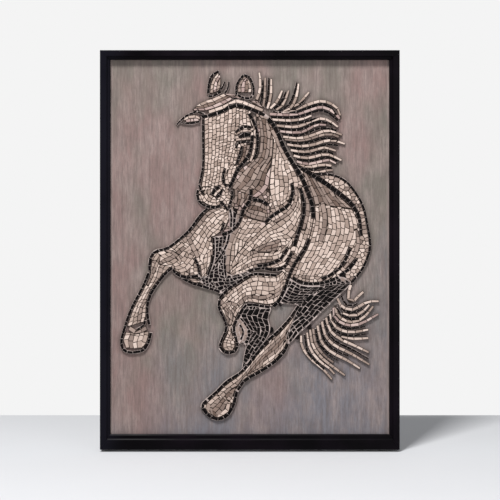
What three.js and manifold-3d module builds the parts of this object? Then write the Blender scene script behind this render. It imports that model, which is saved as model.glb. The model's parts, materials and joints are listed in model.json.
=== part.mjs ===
// Mosaic panel: a galloping horse in split stone, laid on a painted board in a black mitred frame.
// Millimetres, +Z up. The picture faces -Y, and the origin is the middle of the flat back.
import * as THREE from 'three';
import { mergeVertices } from 'three/addons/utils/BufferGeometryUtils.js';
import Module from 'manifold-3d';

const wasm = await Module();
wasm.setup();

// The frame, over its outer edges. Depths are measured forward from the wall.
const panelWidth = 600;
const panelHeight = 800;
const frameDepth = 26;
const sideRail = 20;
const topRail = 18;
const bottomRail = 30;
const rebateShare = 0.62;
const lipDepth = 20.5;
const edgeRadius = 1.5;

// The board, and the stone laid on it.
const boardThickness = 12;
const contactGap = 0.3;
const bedLow = boardThickness + contactGap;
const bedHigh = bedLow + 1;
const stoneTop = boardThickness + 4.5;
const stoneFoot = bedHigh - 0.5;
const bedMargin = 1.6;
const joint = 1.4;

// How finely the courses follow their curves.
const courseWidth = 18;
const lockWidth = 7;
const turnPerStep = 0.8;
const longestStep = 80;
const finestDetail = 0.5;

const blackSatin = new THREE.MeshStandardMaterial({ color: 0x0b0a0d, roughness: 0.4, metalness: 0 });
const taupePaint = new THREE.MeshStandardMaterial({ color: 0x968c84, roughness: 0.8, metalness: 0 });
const creamStone = new THREE.MeshStandardMaterial({ color: 0xdcc8b0, roughness: 0.6, metalness: 0 });
const blackStone = new THREE.MeshStandardMaterial({ color: 0x140e10, roughness: 0.4, metalness: 0 });

const panel = new THREE.Group();

function addMesh(name, geometry, material) {
  const mesh = new THREE.Mesh(geometry, material);
  mesh.name = name;
  panel.add(mesh);
}

// ---- Solids that can be joined and cut

function toSolid(geometry) {
  geometry.deleteAttribute('normal');
  geometry.deleteAttribute('uv');
  const merged = mergeVertices(geometry, 1e-3);
  const vertProperties = new Float32Array(merged.attributes.position.array);
  const triVerts = new Uint32Array(merged.index.array);
  return new wasm.Manifold(new wasm.Mesh({ numProp: 3, vertProperties, triVerts }));
}

function toGeometry(solid) {
  const mesh = solid.getMesh();
  const geometry = new THREE.BufferGeometry();
  geometry.setAttribute('position', new THREE.BufferAttribute(mesh.vertProperties, 3));
  geometry.setIndex(new THREE.BufferAttribute(mesh.triVerts, 1));
  return geometry;
}

function join(solids) {
  return solids.reduce((whole, solid) => whole.add(solid));
}

// Crumbs cut off at an edge are left out.
function largestPart(solid) {
  return solid.decompose().reduce((big, part) => (part.volume() > big.volume() ? part : big));
}

// An outline in the picture's plane, standing out from the wall between two depths.
function prism(outline, low, high) {
  const shape = new THREE.Shape(outline);
  const geometry = new THREE.ExtrudeGeometry(shape, { depth: high - low, bevelEnabled: false });
  geometry.translate(0, 0, low);
  geometry.rotateX(Math.PI / 2);
  return toSolid(geometry);
}

// ---- Frame and board

// A rail's section: distance inward as a share of the rail's width, and depth from the wall.
// It has a rebate behind the lip, where the board sits, and eased front edges.
function railSection(width) {
  const round = edgeRadius / width;
  const step = rebateShare + round;
  return [
    [0, edgeRadius], [round, 0], [rebateShare, 0], [rebateShare, bedLow],
    [1, bedLow], [1, lipDepth - 1], [1 - round, lipDepth],
    [step + round, lipDepth + 0.6], [step, lipDepth + 1.6],
    [step, frameDepth - edgeRadius], [step - round * 0.3, frameDepth - edgeRadius * 0.3],
    [step - round, frameDepth], [round, frameDepth],
    [round * 0.3, frameDepth - edgeRadius * 0.3], [0, frameDepth - edgeRadius],
  ].map(([share, depth]) => new THREE.Vector2(share, depth));
}

// One rail, from one mitred corner of the frame to the next. Each corner is a line from the
// frame's outer corner to its inner one, so rails of different widths meet exactly.
function addRail(name, width, start, end) {
  const section = new THREE.Shape(railSection(width));
  const geometry = new THREE.ExtrudeGeometry(section, { depth: 1, bevelEnabled: false });
  const along = end.outer.clone().sub(start.outer).normalize();
  const corners = geometry.attributes.position;
  for (let i = 0; i < corners.count; i++) {
    const share = corners.getX(i);
    const depth = corners.getY(i);
    const atEnd = corners.getZ(i) > 0.5;
    const mitre = atEnd ? end : start;
    const place = mitre.outer.clone().lerp(mitre.inner, share);
    place.addScaledVector(along, (atEnd ? -1 : 1) * contactGap / 2);
    corners.setXYZ(i, place.x, -depth, place.y);
  }
  addMesh(name, toGeometry(toSolid(geometry)), blackSatin);
}

function frameCorner(sideX, sideZ) {
  const outer = new THREE.Vector2(sideX * panelWidth / 2, sideZ * panelHeight / 2);
  const rail = sideZ > 0 ? topRail : bottomRail;
  const inner = new THREE.Vector2(outer.x - sideX * sideRail, outer.y - sideZ * rail);
  return { outer, inner };
}

function addFrame() {
  const topLeft = frameCorner(-1, 1);
  const topRight = frameCorner(1, 1);
  const bottomRight = frameCorner(1, -1);
  const bottomLeft = frameCorner(-1, -1);
  addRail('frame_rail_top', topRail, topRight, topLeft);
  addRail('frame_rail_left', sideRail, topLeft, bottomLeft);
  addRail('frame_rail_bottom', bottomRail, bottomLeft, bottomRight);
  addRail('frame_rail_right', sideRail, bottomRight, topRight);
}

// The board fills the rebate, flush with the frame's back.
function addBoard() {
  const right = panelWidth / 2 - sideRail * rebateShare - contactGap;
  const top = panelHeight / 2 - topRail * rebateShare - contactGap;
  const bottom = -panelHeight / 2 + bottomRail * rebateShare + contactGap;
  const board = new THREE.BoxGeometry(2 * right, boardThickness, top - bottom);
  board.translate(0, -boardThickness / 2, (top + bottom) / 2);
  addMesh('backing_board', board, taupePaint);
}

// ---- Stone laid in courses

function curveThrough(points) {
  return new THREE.SplineCurve(points.map(([x, z]) => new THREE.Vector2(x, z)));
}

// As many steps as the curve's turns and its length ask for.
function stepsAlong(curve) {
  const looks = 16;
  let turning = 0;
  for (let i = 0; i < looks; i++) {
    const before = curve.getTangentAt(i / looks);
    const after = curve.getTangentAt((i + 1) / looks);
    turning += Math.abs(Math.atan2(before.cross(after), before.dot(after)));
  }
  return Math.max(1, Math.ceil(turning / turnPerStep), Math.ceil(curve.getLength() / longestStep));
}

// A single course of stone along a curve.
function line(width, points) {
  const curve = curveThrough(points);
  const steps = stepsAlong(curve);
  const outline = spread => {
    const left = [];
    const right = [];
    for (let i = 0; i <= steps; i++) {
      const share = i / steps;
      const across = curve.getTangentAt(share).rotateAround(new THREE.Vector2(), Math.PI / 2);
      const half = width / 2 + spread;
      const place = curve.getPointAt(share);
      left.push(place.clone().addScaledVector(across, half));
      right.push(place.clone().addScaledVector(across, -half));
    }
    return [...left, ...right.reverse()];
  };
  return { outline, courses: [] };
}

// Courses side by side that fill the space between two curves and narrow where it narrows.
function courses(width, from, to) {
  const near = curveThrough(from);
  const far = curveThrough(to);
  const steps = Math.max(stepsAlong(near), stepsAlong(far));
  const widest = Math.max(...[0, 0.25, 0.5, 0.75, 1].map(
    share => near.getPointAt(share).distanceTo(far.getPointAt(share))));
  const count = Math.max(1, Math.round(widest / width));
  const strip = (low, high, gap) => {
    const left = [];
    const right = [];
    for (let i = 0; i <= steps; i++) {
      const a = near.getPointAt(i / steps);
      const b = far.getPointAt(i / steps);
      const inset = Math.min(gap / 2 / a.distanceTo(b), 0.2 / count);
      left.push(a.clone().lerp(b, low / count + inset));
      right.push(a.clone().lerp(b, high / count - inset));
    }
    return [...left, ...right.reverse()];
  };
  const rows = [];
  for (let i = 0; i < count; i++) {
    rows.push(strip(i, i + 1, joint));
  }
  return { outline: spread => grow(strip(0, count, 0), spread), courses: rows };
}

// Moves an outline outwards, each corner along the middle of its two sides' normals.
function grow(outline, distance) {
  const turnSign = THREE.ShapeUtils.isClockWise(outline) ? 1 : -1;
  return outline.map((corner, i) => {
    const before = outline[(i + outline.length - 1) % outline.length];
    const after = outline[(i + 1) % outline.length];
    const inward = corner.clone().sub(before).normalize();
    const outward = after.clone().sub(corner).normalize();
    const middle = inward.add(outward).normalize();
    const away = new THREE.Vector2(-middle.y, middle.x).multiplyScalar(turnSign);
    return corner.clone().addScaledVector(away, distance);
  });
}

// Ground that earlier areas already cover, so that the next one stops short of it.
let covered = null;

// One area of the picture. The courses of a field stand on one bed of adhesive, and the lines,
// which are set first, cut into them.
function addArea(name, stone, fields, lines = []) {
  const beds = fields.map(field => prism(field.outline(bedMargin), bedLow, bedHigh));
  const laid = lines.map(shape => prism(shape.outline(0), bedLow, stoneTop));
  const filled = fields.flatMap(field => field.courses.map(row => prism(row, stoneFoot, stoneTop)));
  let stones = filled.length ? [join(filled)] : [];
  if (filled.length && lines.length) {
    const clearances = lines.map(shape => prism(shape.outline(joint), bedHigh, frameDepth));
    stones = [stones[0].subtract(join(clearances))];
  }
  let body = join([...beds, ...laid, ...stones]);
  if (covered) {
    body = body.subtract(covered);
  }
  const geometry = toGeometry(largestPart(body.simplify(finestDetail)));
  const whole = largestPart(toSolid(geometry));
  const reach = [...fields, ...lines].map(
    shape => prism(shape.outline(bedMargin + contactGap), 0, frameDepth));
  covered = join(covered ? [covered, ...reach] : reach);
  addMesh(name, toGeometry(whole), stone);
}

// ---- The horse, area by area, each curve given by a few points from the panel's middle

// The face, turned a little to the left: brow, nose, muzzle, cheek and eye.
function addHead() {
  addArea('head_stones', creamStone, [
    courses(courseWidth,
      [[-91, 265], [-90.5, 215], [-91, 165], [-97, 127]],
      [[-27, 287], [-29, 250], [-33, 208], [-41, 174], [-55, 129]]),
    courses(courseWidth,
      [[-27, 285], [-28, 262], [-28, 246]],
      [[-3, 281], [0, 262], [3, 249]]),
    courses(courseWidth,
      [[-29, 240], [-33, 208], [-41, 174]],
      [[-27, 224], [-28, 204], [-24, 190], [-29, 172]]),
    courses(courseWidth,
      [[-42, 173], [-50, 158], [-50, 142], [-49, 128]],
      [[-27, 171], [-28, 162], [-35, 146], [-41, 130]]),
    courses(courseWidth,
      [[-13, 209], [-14, 192], [-23, 174]],
      [[0, 215], [0, 204], [-9, 184], [-22, 169]]),
    courses(courseWidth,
      [[-94, 126], [-101, 110], [-96, 100], [-86, 92], [-70, 88], [-59, 92]],
      [[-78, 126], [-79, 116], [-76, 109], [-68, 107], [-62, 106]]),
    courses(courseWidth,
      [[-66, 127], [-56, 126], [-49, 125]],
      [[-56, 118], [-53, 118], [-49, 119]]),
    courses(courseWidth,
      [[-28, 247], [-28, 225], [-26, 206]],
      [[2, 247], [0, 225], [-3, 212]]),
  ], [
    line(7.5, [[-97, 267], [-62, 275], [-30, 291], [0, 283], [30, 271]]),
    line(5, [[-94, 262], [-94, 225], [-94, 170], [-101, 134]]),
    line(5.5, [[-104, 121], [-106, 109], [-101, 97], [-88, 88], [-70, 85], [-58, 89]]),
    line(5, [[-50, 161], [-54, 147], [-52, 134], [-46, 127]]),
    line(6.5, [[5, 230], [3, 205], [-6, 182], [-22, 165], [-32, 143], [-42, 124]]),
    line(6, [[-1, 273], [12, 248], [16, 218], [14, 196], [8, 182]]),
    line(7, [[-24, 229], [-12, 233], [1, 230]]),
    line(8, [[-74, 112], [-66, 120], [-58, 122]]),
    line(5, [[-58, 97], [-50, 88], [-44, 80]]),
    line(5, [[-36, 120], [-35, 108], [-39, 95], [-43, 82]]),
  ]);
}

// The neck, from behind the cheek to the crest, with the throat below.
function addNeck() {
  addArea('neck_stones', creamStone, [
    courses(courseWidth,
      [[17, 268], [22, 240], [22, 210], [16, 182], [2, 160], [-14, 142], [-30, 124]],
      [[32, 262], [44, 236], [45, 205], [41, 172], [38, 146], [24, 118], [8, 110]]),
    courses(courseWidth,
      [[-31, 122], [-30, 105], [-34, 92]],
      [[-1, 122], [-6, 104], [-18, 86]]),
    courses(courseWidth,
      [[48, 230], [45, 200], [42, 168], [40, 135], [43, 104], [50, 84]],
      [[53, 230], [66, 202], [80, 176], [94, 150], [97, 128], [80, 100]]),
    courses(courseWidth,
      [[5, 96], [20, 96], [34, 87]],
      [[-10, 70], [10, 62], [36, 56]]),
    courses(courseWidth,
      [[-34, 84], [-34, 66], [-35, 45]],
      [[-17, 82], [-22, 62], [-29, 45]]),
  ], [
    line(9, [[24, 274], [42, 259], [57, 234], [68, 207], [84, 178], [101, 152], [115, 120], [125, 92],
      [128, 64]]),
    line(6.5, [[85, 131], [86, 112], [77, 89], [58, 77], [42, 66], [32, 55]]),
    line(6.5, [[3, 121], [0, 99], [-13, 81], [-20, 58], [-38, 37], [-56, 31]]),
    line(7, [[6, 100.5], [21, 100.5], [37, 90]]),
    line(5, [[-40, 84], [-37, 66], [-38, 46]]),
    line(7, [[34, 256], [50, 231], [61, 205], [73, 181]]),
  ]);
}

// The forelock, swept to the left over the brow.
function addForelock() {
  addArea('forelock_stones', creamStone, [
    courses(courseWidth,
      [[-110, 280], [-84, 281], [-52, 293], [-34, 304]],
      [[-115, 283], [-98, 296], [-78, 303], [-52, 314]]),
    courses(courseWidth,
      [[-34, 306], [-12, 303], [3, 298], [26, 286]],
      [[-52, 314], [-30, 312], [-4, 301], [16, 299]]),
  ], [
    line(5.5, [[-82, 277], [-50, 288], [-28, 299], [0, 291], [26, 280]]),
    line(4, [[-147, 252], [-130, 268], [-105, 279]]),
    line(4, [[-138, 256], [-118, 254], [-101, 258]]),
    line(5, [[-132, 262], [-115, 269], [-99, 264]]),
  ]);
}

function addLeftEar() {
  addArea('left_ear_stones', creamStone, [
    courses(courseWidth,
      [[-80, 314], [-78, 334], [-73, 345], [-64, 355]],
      [[-62, 320], [-58, 334], [-59, 350]]),
  ], [
    line(5.5, [[-84, 314], [-82, 334], [-76, 351], [-62, 359]]),
    line(5, [[-83, 309], [-70, 310], [-58, 319]]),
  ]);
}

function addRightEar() {
  addArea('right_ear_stones', creamStone, [
    courses(courseWidth,
      [[-24, 317], [-23, 332], [-12, 348]],
      [[3, 316], [3, 330], [-5, 346]]),
  ], [
    line(5, [[-27, 312], [-27, 330], [-18, 346], [-10, 352], [0, 346], [7, 330], [7, 311]]),
    line(5, [[-26, 313], [-16, 307], [-2, 304], [6, 311]]),
  ]);
}

// The ribs and belly, in courses that hang from the withers.
function addBarrel() {
  addArea('barrel_stones', creamStone, [
    courses(courseWidth,
      [[105, 134], [113, 102], [113, 72], [104, 42], [95, 12], [89, -8]],
      [[111, 130], [119, 98], [123, 66], [121, 44], [115, 24], [107, 4], [94, -15]]),
    courses(courseWidth,
      [[102, 166], [114, 142], [126, 112], [131, 92]],
      [[118, 154], [150, 130], [180, 106], [204, 84]]),
    courses(courseWidth,
      [[131, 90], [132, 60], [126, 30], [116, 2], [100, -26], [92, -50]],
      [[205, 81], [214, 62], [217, 34], [208, 6], [190, -26], [164, -56]]),
  ], [
    line(6, [[201, 2], [192, -20], [172, -44], [145, -58]]),
    line(7, [[86, -56], [105, -66], [135, -68], [165, -61], [182, -52]]),
    line(6.5, [[119, 22], [110, 0], [92, -25], [80, -50], [70, -80], [58, -103], [47, -114]]),
    line(8, [[146, 92], [151, 68], [149, 42], [142, 18]]),
  ]);
}

// The line of the back and the croup beyond it.
function addCroup() {
  addArea('croup_stones', creamStone, [
    courses(courseWidth,
      [[150, 144], [172, 130], [190, 112], [212, 90], [226, 64], [229, 28], [218, 0], [202, -26],
        [184, -46]],
      [[152, 149], [168, 146], [188, 137], [207, 116], [223, 86], [231, 50], [237, 12], [233, -12],
        [221, -38], [203, -62]]),
  ], [
    line(9, [[93, 170], [120, 154], [150, 135], [180, 113], [205, 92], [219, 66], [224, 28]]),
    line(5, [[128, 152], [160, 152], [188, 142], [210, 119], [228, 87], [236, 50], [242, 12],
      [238, -12], [225, -40], [204, -66]]),
    line(6, [[214, -18], [202, -36], [180, -52]]),
  ]);
}

// The shoulder, in courses that fan out from the root of the neck.
function addShoulder() {
  addArea('shoulder_stones', creamStone, [
    courses(courseWidth,
      [[92, 150], [92, 112], [84, 88], [66, 72], [44, 58], [18, 36], [-6, 12], [-26, -10], [-38, -32]],
      [[97, 132], [103, 98], [103, 72], [95, 42], [82, 24], [60, 22], [36, 14], [8, 2], [-20, -22],
        [-37, -38]]),
    courses(courseWidth,
      [[-14, 66], [-21, 50], [-32, 28], [-37, 2], [-40, -30]],
      [[36, 54], [18, 36], [-6, 12], [-26, -10], [-38, -32]]),
    courses(courseWidth,
      [[10, 2], [34, 14], [62, 22]],
      [[10, -2], [34, -4], [58, 0]]),
    courses(courseWidth,
      [[86, 24], [70, 6], [50, -6], [14, -6], [-18, -24], [-38, -40]],
      [[84, 6], [74, -2], [60, -16], [38, -25], [14, -28], [-10, -38], [-40, -50]]),
    courses(courseWidth,
      [[80, 4], [66, -18], [40, -31], [14, -34], [0, -38]],
      [[86, -4], [72, -30], [45, -36], [20, -36], [2, -41]]),
  ], [
    line(6.5, [[101, 124], [108, 100], [108, 72], [99, 40], [89, 8]]),
    line(6, [[15, -32], [38, -29], [60, -20], [75, 2]]),
    line(6, [[-2, -43], [20, -36], [45, -40], [68, -36], [84, -6]]),
    line(9, [[-24, 47], [-35, 28], [-42, 6], [-45, -18], [-46, -44]]),
  ]);
}

// The shaded middle of the chest.
function addChest() {
  addArea('chest_stones', blackStone, [
    courses(courseWidth,
      [[-70, 27], [-69, 12], [-69, -4]],
      [[-46, 29], [-50, 12], [-60, -4]]),
    courses(courseWidth,
      [[-69, -6], [-71, -24], [-79, -44]],
      [[-59, -8], [-63, -20], [-56, -40]]),
    courses(courseWidth,
      [[-53, 27], [-51, 16], [-55, 4]],
      [[-43, 29], [-44, 18], [-48, 8]]),
    courses(courseWidth,
      [[-86, -50], [-70, -47], [-52, -52], [-30, -48], [-6, -42]],
      [[-62, -80], [-60, -92], [-40, -77], [-20, -63], [4, -48]]),
  ], [
    line(5, [[-73, 25], [-72, 2], [-74, -20], [-84, -50]]),
    line(5, [[-41, 32], [-46, 12], [-56, -8], [-70, -28]]),
    line(5, [[-50, -15], [-51, -33], [-48, -52]]),
  ]);
}

// The near foreleg, folded under the chest.
function addNearForeleg() {
  addArea('near_foreleg_stones', creamStone, [
    courses(courseWidth,
      [[72, -42], [54, -56], [30, -55], [4, -55], [-20, -69], [-40, -84], [-56, -100]],
      [[64, -88], [58, -98], [42, -109], [14, -106], [-5, -104], [-18, -114], [-29, -136]]),
    courses(courseWidth,
      [[-57, -104], [-57, -118], [-47, -138], [-42, -158], [-50, -180]],
      [[-28, -134], [-31, -148], [-38, -160], [-34, -176], [-33, -182]]),
    courses(courseWidth,
      [[-51, -181], [-55, -193], [-48, -202]],
      [[-32, -182], [-30, -194], [-36, -202]]),
  ], [
    line(6, [[-61, -97], [-44, -79], [-22, -64], [4, -49], [30, -49], [54, -51]]),
    line(6, [[40, -115], [14, -111], [-5, -109], [-14, -119], [-25, -138]]),
    line(6, [[-61, -100], [-62, -116], [-52, -138], [-47, -158], [-56, -180], [-60, -196],
      [-50, -206], [-34, -206], [-25, -196], [-28, -176], [-33, -158], [-27, -142]]),
    line(7, [[6, -93], [24, -97], [44, -90]]),
    line(6, [[-55, -113], [-40, -107], [-26, -112]]),
  ]);
}

// The far foreleg, reaching forward and down.
function addFarForeleg() {
  addArea('far_foreleg_stones', creamStone, [
    courses(courseWidth,
      [[-62, 87], [-83, 78], [-97, 64], [-114, 42], [-130, 26], [-140, 20]],
      [[-43, 80], [-44, 56], [-60, 36], [-76, 24], [-84, 0], [-98, -24]]),
    courses(courseWidth,
      [[-140, 20], [-162, 4], [-186, -6], [-196, -22]],
      [[-108, -2], [-113, -28], [-134, -46], [-154, -38]]),
    courses(courseWidth,
      [[-197, -25], [-200, -48], [-212, -78], [-233, -118], [-246, -154]],
      [[-160, -34], [-174, -48], [-196, -76], [-207, -100], [-210, -144]]),
    courses(courseWidth,
      [[-249, -166], [-254, -184], [-248, -198]],
      [[-203, -164], [-206, -182], [-216, -197]]),
    courses(courseWidth,
      [[-102, -18], [-98, -38], [-96, -56]],
      [[-78, -2], [-79, -24], [-88, -46]]),
    courses(courseWidth,
      [[-140, -57], [-104, -58], [-96, -56], [-76, -46]],
      [[-128, -62], [-112, -66], [-88, -72], [-64, -80]]),
  ], [
    line(6, [[-84, 84], [-100, 69], [-118, 44], [-137, 25], [-165, 4], [-190, -3], [-201, -20],
      [-201, -42]]),
    line(6, [[-203, -46], [-216, -76], [-238, -118], [-250, -152], [-258, -182], [-254, -200],
      [-238, -206], [-214, -201], [-203, -184], [-199, -166]]),
    line(6, [[-156, -36], [-172, -50], [-190, -74], [-203, -98], [-206, -126], [-202, -150]]),
    line(6, [[-156, -36], [-148, -48], [-128, -55], [-104, -52]]),
    line(5, [[-110, -18], [-103, -34], [-101, -54]]),
    line(6, [[-137, -56], [-115, -67], [-88, -75], [-60, -84]]),
    line(7, [[-242, -157], [-227, -165], [-208, -157]]),
  ]);
}

// The shaded belly and thigh.
function addBellyAndThigh() {
  addArea('belly_and_thigh_stones', blackStone, [
    courses(courseWidth,
      [[86, -62], [105, -72], [130, -74], [150, -73]],
      [[62, -104], [84, -109], [104, -108]]),
    courses(courseWidth,
      [[204, -66], [176, -92], [146, -120], [122, -144], [100, -164], [80, -188]],
      [[150, -72], [126, -86], [104, -108], [92, -128], [84, -148], [77, -172]]),
  ]);
}

function addFarHindLeg() {
  addArea('far_hind_leg_stones', blackStone, [
    courses(courseWidth,
      [[42, -118], [36, -136], [40, -158], [34, -176], [18, -198], [2, -226], [-12, -240]],
      [[-8, -117], [-19, -130], [-8, -146], [3, -165], [-2, -182], [-10, -204], [-15, -238]]),
    courses(courseWidth,
      [[-22, -136], [-10, -150], [-4, -166], [-10, -184]],
      [[-27, -142], [-29, -160], [-26, -176], [-20, -188]]),
  ], [
    line(4, [[-20, -150], [-13, -164], [-18, -180]]),
  ]);
}

// The near hind leg, pushing off to the left.
function addNearHindLeg() {
  addArea('near_hind_leg_stones', creamStone, [
    courses(courseWidth,
      [[92, -130], [76, -150], [56, -172], [28, -198], [5, -223], [-20, -252], [-46, -270], [-66, -290]],
      [[76, -182], [66, -200], [44, -221], [14, -240], [-12, -256], [-30, -282], [-38, -304]]),
    courses(courseWidth,
      [[-68, -292], [-80, -302], [-90, -314], [-84, -326]],
      [[-38, -306], [-42, -324], [-58, -334], [-68, -336]]),
  ], [
    line(6, [[98, -112], [80, -138], [60, -160], [32, -186], [8, -216], [-18, -246], [-46, -264],
      [-66, -284], [-84, -300]]),
    line(6.5, [[-84, -300], [-96, -314], [-84, -331], [-66, -340], [-46, -333], [-33, -312],
      [-26, -284]]),
    line(6.5, [[-26, -284], [-10, -262], [18, -246], [48, -226], [68, -206], [76, -188]]),
  ]);
}

// The mane: short locks that stand up behind the ears, then long ones blown to the right.
function addMane() {
  const locks = [
    courses(lockWidth,
      [[7, 291], [17, 310], [20, 332], [19, 355]],
      [[31, 290], [39, 308], [43, 325], [42, 343]]),
    courses(lockWidth,
      [[42, 290], [52, 300], [64, 319]],
      [[56, 286], [70, 300], [78, 320]]),
    courses(lockWidth,
      [[58, 282], [80, 298], [92, 334]],
      [[72, 284], [88, 302], [97, 334]]),
    courses(lockWidth,
      [[58, 280], [95, 286], [142, 300], [168, 292], [182, 268]],
      [[38, 266], [85, 260], [112, 259], [142, 274], [178, 259]]),
    courses(lockWidth,
      [[48, 260], [95, 257], [122, 258], [146, 265], [177, 248]],
      [[58, 243], [98, 236], [120, 246], [150, 251], [174, 242]]),
    courses(lockWidth,
      [[60, 241], [105, 234], [140, 241], [165, 243], [185, 231]],
      [[67, 226], [100, 219], [145, 224], [178, 222]]),
    courses(lockWidth,
      [[71, 220], [118, 216], [160, 224], [192, 213]],
      [[80, 203], [112, 196], [145, 200], [174, 197]]),
    courses(lockWidth,
      [[82, 199], [112, 186], [142, 192], [183, 181]],
      [[93, 176], [118, 171], [145, 179], [173, 174]]),
    courses(lockWidth,
      [[97, 172], [135, 173], [165, 171]],
      [[110, 158], [135, 156], [165, 162]]),
  ];
  locks.forEach((lock, i) => addArea(`mane_lock_${i + 1}`, creamStone, [lock]));
}

// The tail, in locks that sweep out from the thigh.
function addTail() {
  const locks = [
    courses(lockWidth,
      [[186, -90], [194, -108], [210, -116], [228, -108], [258, -101]],
      [[176, -102], [185, -122], [202, -131], [224, -126], [250, -109]]),
    courses(lockWidth,
      [[174, -108], [182, -134], [202, -144], [226, -136], [248, -115]],
      [[168, -118], [177, -146], [200, -156], [228, -150], [258, -128]]),
    courses(lockWidth,
      [[166, -122], [176, -149], [204, -161], [238, -158]],
      [[158, -130], [168, -160], [198, -178], [238, -178]]),
    courses(lockWidth,
      [[156, -134], [170, -166], [202, -186], [240, -206]],
      [[146, -140], [156, -174], [184, -202], [236, -232]]),
    courses(lockWidth,
      [[144, -142], [154, -178], [182, -204], [220, -238]],
      [[126, -150], [138, -186], [164, -216], [190, -252]]),
    courses(lockWidth,
      [[122, -154], [136, -188], [160, -218], [172, -248]],
      [[104, -168], [104, -192], [128, -218], [164, -260]]),
  ];
  locks.forEach((lock, i) => addArea(`tail_lock_${i + 1}`, creamStone, [lock]));
}

// The topmost lock of the tail curls up in a hook.
function addTailHook() {
  addArea('tail_lock_7', creamStone, [], [
    line(5, [[203, -71], [198, -90], [203, -104], [214, -96], [227, -84]]),
  ]);
}

addFrame();
addBoard();
addHead();
addNeck();
addForelock();
addLeftEar();
addRightEar();
addBarrel();
addCroup();
addShoulder();
addChest();
addNearForeleg();
addFarForeleg();
addBellyAndThigh();
addFarHindLeg();
addNearHindLeg();
addMane();
addTail();
addTailHook();

export default panel;
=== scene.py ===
import json
import math
import random

import bmesh
import bpy
import numpy as np
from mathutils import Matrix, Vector, kdtree, noise

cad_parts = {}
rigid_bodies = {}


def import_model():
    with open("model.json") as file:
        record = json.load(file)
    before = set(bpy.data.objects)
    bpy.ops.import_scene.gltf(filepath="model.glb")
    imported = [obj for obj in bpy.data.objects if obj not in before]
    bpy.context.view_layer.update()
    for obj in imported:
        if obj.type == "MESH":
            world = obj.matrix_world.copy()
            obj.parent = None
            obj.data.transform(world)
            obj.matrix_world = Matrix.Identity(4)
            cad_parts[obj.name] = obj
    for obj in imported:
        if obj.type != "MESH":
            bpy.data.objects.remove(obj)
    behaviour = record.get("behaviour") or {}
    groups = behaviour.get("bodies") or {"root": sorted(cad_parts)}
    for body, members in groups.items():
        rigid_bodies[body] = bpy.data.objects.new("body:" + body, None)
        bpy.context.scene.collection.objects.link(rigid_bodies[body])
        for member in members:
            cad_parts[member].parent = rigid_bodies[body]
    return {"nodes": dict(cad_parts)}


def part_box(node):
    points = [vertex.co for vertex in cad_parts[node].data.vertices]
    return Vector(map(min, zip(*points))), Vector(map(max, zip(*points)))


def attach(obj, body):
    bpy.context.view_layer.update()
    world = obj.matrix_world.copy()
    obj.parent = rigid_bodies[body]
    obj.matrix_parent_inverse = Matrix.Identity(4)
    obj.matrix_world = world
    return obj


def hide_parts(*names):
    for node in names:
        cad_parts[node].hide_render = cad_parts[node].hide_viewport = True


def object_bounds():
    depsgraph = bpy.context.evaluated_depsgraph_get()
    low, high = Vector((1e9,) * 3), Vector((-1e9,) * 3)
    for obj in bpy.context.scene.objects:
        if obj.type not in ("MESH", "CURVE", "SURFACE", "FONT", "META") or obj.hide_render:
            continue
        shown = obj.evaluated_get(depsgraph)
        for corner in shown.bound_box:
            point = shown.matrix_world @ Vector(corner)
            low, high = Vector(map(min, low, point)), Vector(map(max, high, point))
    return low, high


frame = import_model()
cad_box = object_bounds()

# ---------------------------------------------------------------------------------------------
# The frame: four lengths of wooden moulding, mitred and glued at the corners round the board.
# They are sprayed satin black, so the grain barely shows, and the arrises have rubbed thin.
# ---------------------------------------------------------------------------------------------


LACQUER = {
    "dark": (0.0012, 0.0008, 0.0014, 1),
    "rubbed": (0.0045, 0.0025, 0.0050, 1),
    # The bluish colour of the painted reflection on the left rail.
    "painted_reflection": (0.0055, 0.0052, 0.0090, 1),
}


class Reading:
    """A value or colour that varies over a surface, so that node maths reads as arithmetic."""

    def __init__(self, finish, socket):
        self.finish = finish
        self.socket = socket

    def combine(self, operation, left, right):
        return self.finish.add("ShaderNodeMath", {"operation": operation}, {0: left, 1: right})

    def __add__(self, other):
        return self.combine("ADD", self, other)

    def __radd__(self, other):
        return self.combine("ADD", other, self)

    def __sub__(self, other):
        return self.combine("SUBTRACT", self, other)

    def __rsub__(self, other):
        return self.combine("SUBTRACT", other, self)

    def __mul__(self, other):
        return self.combine("MULTIPLY", self, other)

    def __rmul__(self, other):
        return self.combine("MULTIPLY", other, self)


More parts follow.
